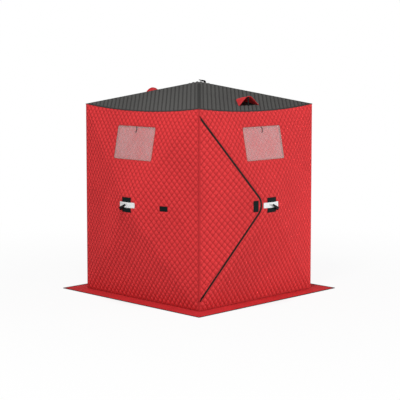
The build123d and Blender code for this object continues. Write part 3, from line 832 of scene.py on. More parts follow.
def film_finish(name, colour):
    """Cold-cracked clear film: see-through, with a milky haze, faint smears and a welded border."""
    finish = Finish(name)
    smear = finish.noise(9.0, 4.0, 0.6)
    speck = finish.noise(180.0, 2.0)
    border = finish.value("border")
    haze = finish.sum("MULTIPLY", finish.span(smear, 0.25, 0.75, 0.85, 1.15),
                      finish.span(speck, 0.35, 0.65, 0.93, 1.06))
    cover = finish.sum("MULTIPLY", haze, 0.19)
    finish.link(finish.blend(border, tint(colour), tint((0.48, 0.42, 0.38))),
                finish.shader.inputs["Base Color"])
    finish.link(finish.sum("MAXIMUM", cover, finish.sum("MULTIPLY", border, 0.42)),
                finish.shader.inputs["Alpha"])
    finish.link(finish.span(smear, 0.3, 0.7, 0.16, 0.3), finish.shader.inputs["Roughness"])
    finish.link(finish.bump(smear, 0.15, 0.002), finish.shader.inputs["Normal"])
    finish.shader.inputs["IOR"].default_value = 1.48
    finish.shader.inputs["Specular IOR Level"].default_value = 0.25
    return finish.material


def mesh_finish(name, colour):
    """Insect mesh: thin crossed threads with open squares between them."""
    finish = Finish(name)
    u, v = finish.uv()
    lines = []
    for way in (u, v):
        wave = finish.sum("ABSOLUTE", finish.sum("SINE", finish.sum("MULTIPLY", way, math.pi / 0.0022)))
        lines.append(finish.span(wave, 0.35, 0.6, 1.0, 0.0))
    thread = finish.sum("MAXIMUM", lines[0], lines[1])
    finish.link(finish.blend(thread, tint(colour, 0.5), tint(colour, 1.2)),
                finish.shader.inputs["Base Color"])
    finish.link(finish.span(thread, 0.0, 1.0, 0.55, 1.0), finish.shader.inputs["Alpha"])
    finish.link(finish.bump(thread, 0.5, 0.0004), finish.shader.inputs["Normal"])
    finish.shader.inputs["Roughness"].default_value = 0.75
    return finish.material


def sew(piece, body, nodes=()):
    """Every piece rides on its body and stands for its solids, which are hidden."""
    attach(piece, body)
    if nodes:
        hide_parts(*nodes)
    return piece


def repaint(node, finish):
    """A solid of the frame that shows keeps its shape and takes a finish."""
    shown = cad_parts[node]
    shown.data.materials.clear()
    shown.data.materials.append(finish_called(finish))


# ------------------------------------------------------------------ pieces
class SHELTER_OT_walls(bpy.types.Operator):
    """Sew the four quilted walls, each one sheet from corner to corner"""

    bl_idname = "ice_shelter.walls"
    bl_label = "Quilted Walls"

    def execute(self, context):
        size = sizes()
        columns = lattice_lines(-size.half_width, size.half_width, size.diamond_width / size.wall_steps)
        rows = lattice_lines(size.foot_height, size.corner_height, size.diamond_height / size.wall_steps)
        for wall in WALLS:

            def outline(u, z, wall=wall):
                edge = np.maximum(np.abs(u) - size.half_width, size.foot_height - z)
                edge = np.maximum(edge, z - seam_height(np.clip(u, -size.half_width, size.half_width)))
                edge = np.maximum(edge, -window_edge(u, z))
                if wall == "front":
                    edge = np.maximum(edge, -np.maximum(door_edge(along_facet(u), z), -0.08 - along_facet(u)))
                if wall == "left":
                    rolled = boxed(u - size.half_width, z - (size.door_top + size.door_bottom) / 2,
                                   CORNER_SLOT, (size.door_top - size.door_bottom) / 2, 0.0)
                    edge = np.maximum(edge, -rolled)
                return edge

            u, z, triangles = cut_cloth(columns, rows, outline, wall_lattice)
            points, raised = wall_points(u, z, wall)
            piece = put(f"{wall}_wall_cloth", points, [triangles], np.stack([u, z], axis=-1),
                        ("red_quilting", "lining"), stitched(raised, wall_lattice(u, z)))
            thicken(piece, size.cloth_thickness, lined=True)
            nodes = (f"{wall}_wall_top_panel", f"{wall}_wall_bottom_panel") + PANEL_WORDS[wall]
            sew(piece, "shelter", nodes)
            high = size.corner_height - size.foot_height
            area = 2 * size.half_width * high * 0.985 - size.window_width * size.window_depth
            if wall == "front":
                area -= 0.5 * size.door_point * (size.door_top - size.door_bottom) * 0.97
        return {"FINISHED"}


class SHELTER_OT_door(bpy.types.Operator):
    """Sew the quilted door leaf and the piping it folds on"""

    bl_idname = "ice_shelter.door"
    bl_label = "Door"

    def execute(self, context):
        size = sizes()
        columns = lattice_lines(-size.half_width, 0.0, size.door_diamond / size.wall_steps)
        rows = lattice_lines(size.door_bottom, size.door_top, size.diamond_height / size.wall_steps)

        def outline(u, z):
            p = along_facet(u)
            return np.maximum(door_edge(p, z) + LEAF_INSET, LEAF_START - p)

        u, z, triangles = cut_cloth(columns, rows, outline, door_lattice)
        points, raised = wall_points(u, z, "front", lattice=door_lattice)
        leaf = put("door_cloth", points, [triangles], np.stack([u, z], axis=-1),
                   ("red_quilting", "lining"), stitched(raised, door_lattice(u, z)))
        thicken(leaf, size.cloth_thickness, lined=True)
        sew(leaf, "door", ("door_panel",))

        heights = np.linspace(LEAF_LOW[2], LEAF_HIGH[2], 160)
        centre = -size.half_width + PIPING_PLACE
        path = np.stack([np.full(160, centre), np.full(160, centre), heights], axis=-1)
        puckered = PIPING_RADIUS + 0.00020 * np.sin(heights * 2 * math.pi / 0.033)
        profile = oval(2.0, 2.0, 12)[None] * puckered[:, None, None]
        points, faces = carried(path, np.tile([1.0, 0, 0], (160, 1)), np.tile([0, 1.0, 0], (160, 1)), profile)
        piping = put("door_piping", points, faces, profile_uv(12, 0.002, heights), ("red_cloth",))
        sew(piping, "door")
        self.facing()
        return {"FINISHED"}

    def facing(self):
        """A narrow strip behind the corner seam, sewn to the walls: it runs round the piping in an arc,
        with a flat behind each of the two walls."""
        size = sizes()
        angle = np.radians(np.linspace(80.0, 10.0, 10))
        off = np.array([0.024, 0.016, 0.010])
        flat = np.stack([0.0066 - off * math.tan(side_tilt()), off], axis=-1)
        line = np.concatenate([
            flat, PIPING_PLACE + FACING_RADIUS * np.stack([np.cos(angle), np.sin(angle)], axis=-1),
            flat[::-1, ::-1]]) - size.half_width
        heights = np.linspace(size.door_bottom - 0.008, size.door_top + 0.006, 120)
        n, m = len(heights), len(line)
        points = np.stack([np.tile(line[:, 0], n), np.tile(line[:, 1], n), np.repeat(heights, m)], axis=-1)
        run = np.concatenate([[0.0], np.cumsum(np.hypot(*np.diff(line, axis=0).T))])
        uv = np.stack([np.tile(run, n), np.repeat(heights, m)], axis=-1)
        piece = put("corner_facing", points, [grid_faces(n, m)], uv, ("red_cloth",))
        thicken(piece, 0.0008)
        sew(piece, "shelter")


def zip_line(inward, spacing, start_p=ZIP_START):
    """Points along the doorway's outline, moved inward, with the outward direction in the facet: down
    the upper run, round the arc and back along the lower run, evenly by length. Both ends are start_p
    from the corner."""
    size = sizes()
    nx, nz, centre = door_run()
    middle = (size.door_top + size.door_bottom) / 2
    radius = size.door_radius - inward
    tangent = np.array([centre + radius * nx, radius * nz])
    start = np.array([start_p, tangent[1] + (tangent[0] - start_p) * nx / nz])
    run = float(np.hypot(*(tangent - start)))
    arc = 2 * math.atan2(nz, nx) * radius
    total = 2 * run + arc
    s = np.linspace(0.0, total, max(8, int(total / spacing)))
    turn = np.clip((s - run) / radius, 0.0, arc / radius)
    angle = math.atan2(nz, nx) - turn
    on_arc = np.stack([centre + radius * np.cos(angle), radius * np.sin(angle)], axis=-1)
    before = np.clip(run - s, 0.0, None)[:, None] * np.array([[-nz, nx]])
    after = np.clip(s - run - arc, 0.0, None)[:, None] * np.array([[-nz, -nx]])
    place = on_arc + before + after
    outward = np.stack([np.cos(angle), np.sin(angle)], axis=-1)
    return s, place[:, 0], place[:, 1] + middle, outward


def on_door_facet(p, z, off):
    """A point of the door's facet at a distance from the corner, a height, and off the cloth."""
    size = sizes()
    c, s = math.cos(side_tilt()), math.sin(side_tilt())
    return np.stack([-size.half_width + p * c - off * s, -size.half_width - p * s - off * c, z], axis=-1)


def facet_axes(outward):
    """Directions in the door's facet as directions in space, and the way off the cloth."""
    c, t = math.cos(side_tilt()), math.sin(side_tilt())
    side = np.stack([outward[:, 0] * c, -outward[:, 0] * t, outward[:, 1]], axis=-1)
    return side, np.tile([-t, -c, 0.0], (len(outward), 1))


def zip_strip(name, start_p, profile, spacing, pulse):
    """A profile carried along the zip; a pulse swells it once for each tooth."""
    s, p, z, outward = zip_line(0.0, spacing, start_p)
    path = on_door_facet(p, z, 0.0)
    side, up = facet_axes(outward)
    swell = 1.0 + pulse * np.abs(np.sin(math.pi * s / TOOTH_PITCH))
    middle = profile.mean(axis=0)
    shape = middle + (profile - middle)[None] * swell[:, None, None]
    points, faces = carried(path, -side, up, shape)
    return put(name, points, faces, profile_uv(len(profile), 0.001, s), ("zip",))


class SHELTER_OT_zip(bpy.types.Operator):
    """Sew both halves of the zip round the door, with a slider at its lower end"""

    bl_idname = "ice_shelter.zip"
    bl_label = "Zip"

    def execute(self, context):
        tape = oval(0.0082, 0.0012, 12, 4.0)
        coil = oval(0.0026, 0.0026, 8)
        pieces = [
            ("zip_tape", "shelter", ZIP_START, tape + [[0.0015, 0.0012]], 0.008, 0.0),
            ("zip_coil", "shelter", ZIP_START, coil + [[0.0050, 0.0022]], 0.00075, 0.22),
            ("door_zip_tape", "door", LEAF_ZIP_START, tape + [[0.0105, 0.0012]], 0.008, 0.0),
            ("door_zip_coil", "door", LEAF_ZIP_START, coil + [[0.0070, 0.0022]], 0.00075, 0.22),
        ]
        for name, body, start_p, profile, spacing, pulse in pieces:
            piece = zip_strip(name, start_p, profile, spacing, pulse)
            nodes = ("door_zip",) if name == "zip_tape" else ()
            sew(piece, body, nodes)
        self.slider()
        return {"FINISHED"}

    def slider(self):
        """The slider rests on the lower end of the zip: a waisted body, and a pull that hangs down from it.
        Each is an oval carried along the zip, with its width and height swelling and dying at both ends."""
        s, p, z, outward = zip_line(0.0055, 0.0010)
        parts = []
        for first, length, width, height, lift in ((0.030, 0.013, 0.0084, 0.0048, 0.0028),
                                                   (0.037, 0.026, 0.0050, 0.0016, 0.0062)):
            picked = (s > s[-1] - first - length) & (s < s[-1] - first)
            path = on_door_facet(p[picked], z[picked], lift)
            side, up = facet_axes(outward[picked])
            share = np.linspace(0.0, 1.0, len(path))
            ends = np.sqrt(np.clip(1.0 - (2 * share - 1.0) ** 6, 0.03, 1.0))
            full = ends * (1.0 - 0.18 * np.sin(math.pi * share) ** 4)
            points, faces = carried(path, -side, up, oval(width, height, 12, 3.0)[None] * full[:, None, None])
            parts.append((points, faces, points[:, [0, 2]]))
        piece = put("zip_slider", *joined(parts), ("black_plastic",))
        sew(piece, "shelter")


class SHELTER_OT_roof(bpy.types.Operator):
    """Sew the quilted roof: four panels ridge to ridge in one sheet, cut away under the vents"""

    bl_idname = "ice_shelter.roof"
    bl_label = "Roof"

    def execute(self, context):
        size = sizes()
        reach = size.half_width + 0.02
        lines = lattice_lines(-reach, reach, size.roof_diamond / size.roof_steps)

        def outline(x, y):
            far = np.maximum(np.abs(x), np.abs(y))
            near = np.minimum(np.abs(x), np.abs(y))
            edge = far - seam_out(near) - 0.003
            return np.maximum(edge, -vent_edge(x, y))

        x, y, triangles = cut_cloth(lines, lines, outline, roof_lattice)
        z, raised = roof_height(x, y)
        piece = put("roof_cloth", np.stack([x, y, z], axis=-1), [triangles], np.stack([x, y], axis=-1),
                    ("grey_quilting", "lining"), stitched(raised, roof_lattice(x, y)))
        thicken(piece, size.cloth_thickness, lined=True)
        sew(piece, "shelter", [f"{wall}_roof_panel" for wall in WALLS])
        return {"FINISHED"}


def seam_out(across):
    """Plan distance of the roof seam from the middle, at a distance across: the corners' plane, plus
    the sag times the lean of the top facet."""
    size = sizes()
    return size.half_width + np.maximum(sag(np.minimum(across, size.half_width)), 0.0) * math.sin(top_tilt())


def roof_height(x, y, quilted=True):
    """Height of the roof: straight lines from the peak down to the sagging seam, cut flat at the cap,
    with rounded ridges and quilting."""
    size = sizes()
    far = np.maximum(np.abs(x), np.abs(y))
    near = np.minimum(np.abs(x), np.abs(y))
    ratio = near / np.maximum(far, 1e-6)
    out = np.full_like(far, size.half_width)
    for _ in range(6):
        out = seam_out(ratio * out)
    edge = seam_height(np.minimum(ratio * out, size.half_width))
    z = size.peak_height - far / out * (size.peak_height - edge)
    z = soft_least(z, np.full_like(z, size.cap_height), 0.008)
    z = z - 0.0016 * (1.0 - smooth(far - near, 0.0, 0.02)) * smooth(far, 0.0, 0.05)
    if not quilted:
        return z, None
    strength = smooth(far - near, *RIDGE_FADE) * smooth(out - far, *ROOF_SEAM_FADE)
    strength = np.maximum(strength, 1.0 - smooth(far, 0.06, 0.10)) * smooth(vent_edge(x, y), *VENT_FADE)
    strength = strength * smooth(hood_seam(x, y), *ROOF_SEAM_FADE)
    a, b = roof_lattice(x, y)
    raised = pillow(a, b) * strength
    waves = 0.0010 * (np.sin(11 * x + 4 * y) + np.sin(7 * y - 9 * x + 1.0))
    waves = waves * smooth(size.half_width - far, 0.0, 0.2)
    waves = waves * smooth(far - near, 0.0, 0.15) * smooth(vent_edge(x, y), 0.0, 0.06)
    return z + size.roof_pillow * (raised - PILLOW_SUNK * strength) + waves, raised


def roof_fall():
    """Fall of a roof panel down its middle, for each metre outwards."""
    return (sizes().peak_height - seam_height(0.0)) / seam_out(0.0)


def hood_seam(x, y):
    """Distance to the two lines along which the nearer hood is sewn down, from its feet to its point."""
    size = sizes()
    along = np.array([size.hood_width / 2, size.hood_front - size.hood_back])
    off = np.stack([np.abs(x), np.abs(y) - size.hood_back], axis=-1)
    share = np.clip(off @ along / (along @ along), 0.0, 1.0)
    return np.linalg.norm(off - share[..., None] * along, axis=-1)


def vent_edge(x, y):
    """Distance to the nearer vent opening, which narrows towards the middle of the roof."""
    size = sizes()
    far = np.abs(y)
    half = size.vent_width / 2
    narrow = half * (size.vent_far - size.hood_back) / (size.vent_near - size.hood_back)
    lean = (half - narrow) / (size.vent_near - size.vent_far)
    side = (np.abs(x) - half + (size.vent_near - far) * lean) / math.hypot(1.0, lean)
    return np.maximum(side, np.maximum(far - size.vent_near, size.vent_far - far))


class SHELTER_OT_skirt(bpy.types.Operator):
    """Lay the smooth skirt on the ice and sew its dark binding"""

    bl_idname = "ice_shelter.skirt"
    bl_label = "Skirt"

    def execute(self, context):
        size = sizes()
        inner, outer = size.half_width - 0.012, size.half_width + size.skirt_width
        for wall in WALLS:
            t, s = np.meshgrid(np.linspace(-1.0, 1.0, 181), np.linspace(0.0, 1.0, 19))
            out = inner + s * (outer - inner)
            u = t * out
            z = skirt_height(u, out)
            points = turned(np.stack([u, -out, z], axis=-1).reshape(-1, 3), wall)
            piece = put(f"{wall}_skirt_cloth", points, [grid_faces(*t.shape)],
                        np.stack([u.ravel(), out.ravel()], axis=-1), ("red_cloth",))
            thicken(piece, 0.0015)
            sew(piece, "shelter", (f"{wall}_skirt",))
        hem = put("skirt_binding", *binding_round(outer + 0.0028), ("black_cloth",))
        sew(hem, "shelter", ("skirt_hem",))
        return {"FINISHED"}


def skirt_height(u, out):
    """Top of the skirt above the ice: it slopes from the foot of the wall to the binding, with shallow
    ripples that run outwards and die at both edges, and a pinched seam at each corner."""
    size = sizes()
    s = np.clip((out - size.half_width) / size.skirt_width, 0.0, 1.0)
    fall = 0.0040 - 0.0014 * smooth(s, 0.0, 0.7)
    ripple = np.sin(u * 34.0 + 1.3 * np.sin(u * 7.0)) * 0.6 + np.sin(u * 61.0 + s * 2.0) * 0.4
    corner = smooth(out - np.abs(u), 0.0, 0.05)
    lifted = 0.0016 * (ripple + 1.0) * np.sin(math.pi * np.clip(s, 0.0, 1.0)) ** 0.8 * corner
    seam = 0.0016 * (1.0 - smooth(out - np.abs(u), 0.002, 0.007)) * smooth(s, 0.0, 0.1)
    return fall + lifted + seam


def binding_round(reach):
    """Binding round a square with small round corners: an oval profile carried along the edge."""
    radius, count = 0.007, 6
    side = np.linspace(-(reach - radius), reach - radius, 60)
    angle = np.linspace(0.0, math.pi / 2, count + 2)[1:-1]
    line = np.stack([side, np.full_like(side, -reach)], axis=-1)
    line_out = np.tile([0.0, -1.0], (len(side), 1))
    corner_out = np.stack([np.sin(angle), -np.cos(angle)], axis=-1)
    corner = np.array([reach - radius, -(reach - radius)]) + radius * corner_out
    quarter, quarter_out = np.concatenate([line, corner]), np.concatenate([line_out, corner_out])
    flat = np.concatenate([quarter, quarter_out], axis=-1)
    turns = [flat]
    for _ in range(3):
        last = turns[-1]
        turns.append(np.stack([-last[:, 1], last[:, 0], -last[:, 3], last[:, 2]], axis=-1))
    whole = np.concatenate(turns)
    n = len(whole)
    path = np.stack([whole[:, 0], whole[:, 1], np.full(n, 0.0029)], axis=-1)
    outward = np.stack([whole[:, 2], whole[:, 3], np.zeros(n)], axis=-1)
    profile = oval(0.0086, 0.0052, 12, 3.0)
    points, faces = carried(path, outward, np.tile([0.0, 0.0, 1.0], (n, 1)), profile, closed_path=True)
    step = np.concatenate([[0.0], np.cumsum(np.hypot(*np.diff(whole[:, :2], axis=0).T))])
    return points, faces, profile_uv(12, 0.0022, step)


class SHELTER_OT_windows(bpy.types.Operator):
    """Sew the clear film, the quilted flap behind it and the small tie into each window"""

    bl_idname = "ice_shelter.windows"
    bl_label = "Windows"

    def execute(self, context):
        size = sizes()
        tilt = top_tilt()
        edge = size.window_border
        high_z = size.corner_height - (size.window_drop - WINDOW_MARGIN) * math.cos(tilt)
        low_z = size.corner_height - (size.window_drop + size.window_depth + WINDOW_MARGIN) * math.cos(tilt)
        for wall in WALLS:
            reach = size.window_width / 2 + WINDOW_MARGIN
            columns = np.linspace(-reach, reach, 97)
            rows = np.linspace(low_z, high_z, 61)
            u, z, triangles = cut_cloth(columns, rows, lambda u, z: window_edge(u, z) - edge)
            inside = -window_edge(u, z)
            ripple = 0.0007 * np.sin(u * 21.0 + 5.0 * z) * np.sin(z * 17.0) * smooth(inside, 0.0, 0.05)
            lifted = 0.0013 - 0.0006 * smooth(inside, -0.001, 0.003) + ripple
            points = turned(np.stack([u, -(size.half_width + top_facet_out(z) + lifted), z], axis=-1), wall)
            border = smooth(-inside, -0.007, -0.004)
            film = put(f"{wall}_window_film", points, [triangles], np.stack([u, z], axis=-1),
                       ("window_film",), {"border": border})
            thicken(film, 0.0006)
            sew(film, "shelter", (f"{wall}_window",))

            step_u, step_z = size.diamond_width / size.wall_steps, size.diamond_height / size.wall_steps
            columns = lattice_lines(-size.window_width / 2 - 0.02, size.window_width / 2 + 0.02, step_u)
            rows = lattice_lines(low_z + 0.01, high_z - 0.01, step_z)
            u, z, triangles = cut_cloth(
                columns, rows, lambda u, z: window_edge(u, z) - FLAP_HEM, wall_lattice)
            strength = smooth(0.012 - window_edge(u, z), 0.0, 0.012)
            raised = pillow(*wall_lattice(u, z)) * strength
            back = 0.0088 - 0.0030 * raised
            points = turned(np.stack([u, -(size.half_width + top_facet_out(z) - back), z], axis=-1), wall)
            flap = put(f"{wall}_window_flap", points, [triangles], np.stack([u, z], axis=-1),
                       ("red_quilting", "lining"), stitched(raised, wall_lattice(u, z)))
            thicken(flap, 0.0030, lined=True)
            sew(flap, "shelter", ("window_flaps",) if wall == "front" else ())
        self.ties()
        return {"FINISHED"}

    def ties(self):
        """Each tie is a narrow strap that bows sideways in an arc over the top edge of its window."""
        size = sizes()
        tilt = top_tilt()
        angle = np.linspace(-1.0, 1.0, 33)
        drop, bow, inset = 0.056, 0.016, 0.009
        down = size.window_drop + drop * (angle + 1.0) / 2
        across = bow * (1.0 - angle**2) - inset
        rise = 0.0016 + 0.0035 * (1.0 - angle**2)
        way = np.stack([np.gradient(across), np.gradient(down)], axis=-1)
        way /= np.linalg.norm(way, axis=1)[:, None]
        z = size.corner_height - down * math.cos(tilt)
        y = -(size.half_width + down * math.sin(tilt))
        normal = np.array([0.0, -math.cos(tilt), math.sin(tilt)])
        along = np.array([0.0, -math.sin(tilt), -math.cos(tilt)])
        path = np.stack([across, y, z], axis=-1) + rise[:, None] * normal
        side = way[:, 1:2] * np.array([[1.0, 0.0, 0.0]]) - way[:, :1] * along
        points, faces = carried(path, side, np.tile(normal, (33, 1)), oval(0.0075, 0.0016, 10, 3.0))
        uv = profile_uv(10, 0.001, down)
        parts = [(turned(points, wall), faces, uv) for wall in WALLS]
        piece = put("window_tie_straps", *joined(parts), ("tie_cloth",))
        sew(piece, "shelter", ("window_ties",))


def sewn_patch(name, wall, place_u, place_z, width, height, lift, thick, finish, body, nodes, over=None):
    """A patch sewn to a wall: a fine grid over its outline that follows the wall, lifted off it and
    drawn down along its edge."""
    half_u, half_z, step = width / 2, height / 2, 0.004
    columns = np.linspace(-half_u - step, half_u + step, max(8, int(width / step)) + 3)
    rows = np.linspace(-half_z - step, half_z + step, max(8, int(height / step)) + 3)
    x, y, triangles = cut_cloth(columns, rows, lambda x, y: boxed(x, y, half_u, half_z, 0.003))
    edge = -boxed(x, y, half_u, half_z, 0.003)
    u, z = x + place_u, y + place_z
    off = lift * smooth(edge, -0.0005, 0.0035) + thick * 0.9
    if over is not None:
        off = off + over(u, z)
    points, _ = wall_points(u, z, wall, lift=off)
    piece = put(name, points, [triangles], np.stack([x, y], axis=-1), (finish,))
    thicken(piece, thick)
    sew(piece, body, nodes)
    return piece


class SHELTER_OT_fittings(bpy.types.Operator):
    """Sew the hub patches and reflective straps, the door tab and the stow patch, and finish the hooks"""

    bl_idname = "ice_shelter.fittings"
    bl_label = "Patches, Straps and Hooks"

    def execute(self, context):
        size = sizes()
        for wall in WALLS:
            place = HAND[wall] * size.fitting_offset
            nodes = ("hub_patches",) if wall == "front" else ()
            sewn_patch(f"{wall}_hub_patch", wall, place, size.hub_height, size.patch_width, size.patch_height,
                       0.0008, 0.0014, "black_cloth", "shelter", nodes)
            nodes = ("hub_straps",) if wall == "front" else ()

            def over(u, z, place=place):
                inside = -boxed(u - place, z - size.hub_height,
                                size.patch_width / 2, size.patch_height / 2, 0.003)
                return 0.0024 * smooth(inside, -0.007, 0.001)

            sewn_patch(f"{wall}_hub_strap", wall, place, size.hub_height,
                       size.strap_length, size.strap_height, 0.0005, 0.0012,
                       "reflective_strap", "shelter", nodes, over=over)
        cosine = math.cos(side_tilt())
        sewn_patch("door_tie_tab", "front", -size.half_width + size.tab_place * cosine,
                   size.hub_height - size.tab_drop, size.tab_width * cosine, size.tab_height,
                   0.0008, 0.0016, "black_cloth", "door", ("door_tab",))
        sewn_patch("door_roll_patch", "left", size.half_width - size.stow_place * cosine, size.stow_up,
                   size.stow_width * cosine, size.stow_height, 0.0008, 0.0016, "black_cloth", "shelter",
                   ("door_stow_patch",))
        repaint("hub_hooks", "black_plastic")
        return {"FINISHED"}


class SHELTER_OT_vents(bpy.types.Operator):
    """Sew the two vent hoods with their props and meshes"""

    bl_idname = "ice_shelter.vents"
    bl_label = "Vents"

    def execute(self, context):
        for side in HOOD_CROWN:
            self.hood(side)
        self.meshes()
        self.props()
        return {"FINISHED"}

    def hood(self, side):
        """The hood is straight lines from its point on the roof to an arch at its mouth, with a slight
        belly between, and its lip turns out a little."""
        size = sizes()
        t, r = np.meshgrid(np.linspace(0.0, 1.0, 61), np.linspace(0.02, 1.0, 25))
        points = hood_points(side, t, r)
        reach = size.hood_front - size.hood_back
        uv = np.stack([(t * r * size.hood_width * 1.25).ravel(), (r * reach).ravel()], axis=-1)
        piece = put(f"{side}_hood_cloth", turned(points.reshape(-1, 3), side), [grid_faces(*t.shape)], uv,
                    ("red_cloth",))
        thicken(piece, 0.0022)
        sew(piece, "shelter", (f"{side}_vent_hood",))
        area = float(np.linalg.norm(np.cross(
            points[1:, :-1] - points[:-1, :-1], points[:-1, 1:] - points[:-1, :-1]), axis=-1).sum())
        line = hood_points(side, np.linspace(0.0, 1.0, 61), np.ones(61))
        along = np.gradient(line, axis=0)
        along /= np.linalg.norm(along, axis=1)[:, None]
        across = np.cross(along, np.array([0.0, 0.0, 1.0]) + 1e-6)
        across /= np.linalg.norm(across, axis=1)[:, None]
        up = np.cross(across, along)
        points, faces = carried(line, across, up, oval(0.0055, 0.0042, 10))
        uv = profile_uv(10, 0.0015, np.linspace(0, 0.42, 61))
        lip = put(f"{side}_hood_lip", turned(points, side), faces, uv, ("red_cloth",))
        sew(lip, "shelter")

    def meshes(self):
        """Each mesh is a flat net a little under the roof's face, over its opening."""
        size = sizes()
        hem, parts = 0.006, []
        for side in HOOD_CROWN:
            s, t = np.meshgrid(np.linspace(size.vent_far - hem, size.vent_near + hem, 21),
                               np.linspace(-1, 1, 31))
            half = size.vent_width / 2 * (s - size.hood_back) / (size.vent_near - size.hood_back) + hem
            x, y = t * half, -s
            z = roof_height(x, y, quilted=False)[0] - 0.0028
            parts.append((turned(np.stack([x, y, z], axis=-1).reshape(-1, 3), side),
                          [np.roll(grid_faces(*x.shape), -1, axis=1)],
                          np.stack([x.ravel(), y.ravel()], axis=-1)))
        piece = put("vent_nets", *joined(parts), ("mesh",))
        thicken(piece, 0.0008)
        sew(piece, "shelter", ("vent_meshes",))

    def props(self):
        """Each prop is a stiff strap that stands from the roof to the crown of the hood."""
        parts = []
        for side in HOOD_CROWN:
            top = hood_points(side, np.array([0.5]), np.array([0.955]))[0]
            x, y = np.zeros(1), np.array([top[1] - 0.004])
            foot_z = roof_height(x, y, quilted=False)[0][0]
            s = np.linspace(0.0, 1.0, 15)
            path = np.stack([np.zeros(15), y[0] + (top[1] - y[0]) * s + 0.004 * np.sin(math.pi * s),
                             foot_z - 0.002 + (top[2] - foot_z) * s], axis=-1)
            points, faces = carried(path, np.tile([1.0, 0, 0], (15, 1)), np.tile([0, -1.0, 0], (15, 1)),
                                    oval(0.016, 0.0018, 12, 4.0))
            faces = [kind[:, ::-1] for kind in faces]
            parts.append((turned(points, side), faces, profile_uv(12, 0.002, s * 0.1)))
        piece = put("vent_prop_straps", *joined(parts), ("black_cloth",))
        sew(piece, "shelter", ("vent_props",))


def hood_points(side, t, r):
    """A point of a hood: t from 0 at the left foot over the crown to 1 at the right foot, and r from 0
    at its point to 1 at the mouth. The mouth is upright: two straight sides that run into the round of
    the crown, with t even along it. The cloth between sags in a little and the lip turns up."""
    size = sizes()
    half, radius = size.hood_width / 2, HOOD_ROUND[side]
    middle = HOOD_CROWN[side] - radius
    swing = math.atan2(middle, half) + math.asin(radius / math.hypot(middle, half))
    straight = math.sqrt(half ** 2 + middle ** 2 - radius ** 2)
    s = t * (2 * straight + 2 * swing * radius)
    angle = np.clip((s - straight) / radius, 0.0, 2 * swing) - swing
    before = np.maximum(straight - s, 0.0)
    after = np.maximum(s - straight - 2 * swing * radius, 0.0)
    arch_x = radius * np.sin(angle) + (after - before) * math.cos(swing)
    arch_up = middle + radius * np.cos(angle) - (after + before) * math.sin(swing)
    slope = roof_fall()
    mouth = np.stack([arch_x, np.full_like(arch_x, -size.hood_front),
                      size.peak_height - size.hood_front * slope - 0.002 + arch_up], axis=-1)
    point = np.array([0.0, -size.hood_back, size.peak_height - size.hood_back * slope - 0.002])
    belly = 0.006 * np.sin(math.pi * r) * np.sin(math.pi * t)
    lip = 0.003 * smooth(r, 0.9, 1.0) * np.sin(math.pi * t)
    made = point + (mouth - point) * r[..., None]
    made[..., 2] += belly + lip
    return made


class SHELTER_OT_frame(bpy.types.Operator):
    """Finish the hubs, sockets and poles inside"""

    bl_idname = "ice_shelter.frame"
    bl_label = "Hubs and Poles"

    def execute(self, context):
        for wall in WALLS:
            repaint(f"{wall}_wall_poles", "fibreglass")
        repaint("roof_poles", "fibreglass")
        for node in ("wall_hubs", "roof_hub", "corner_sockets"):
            repaint(node, "black_plastic")
        return {"FINISHED"}


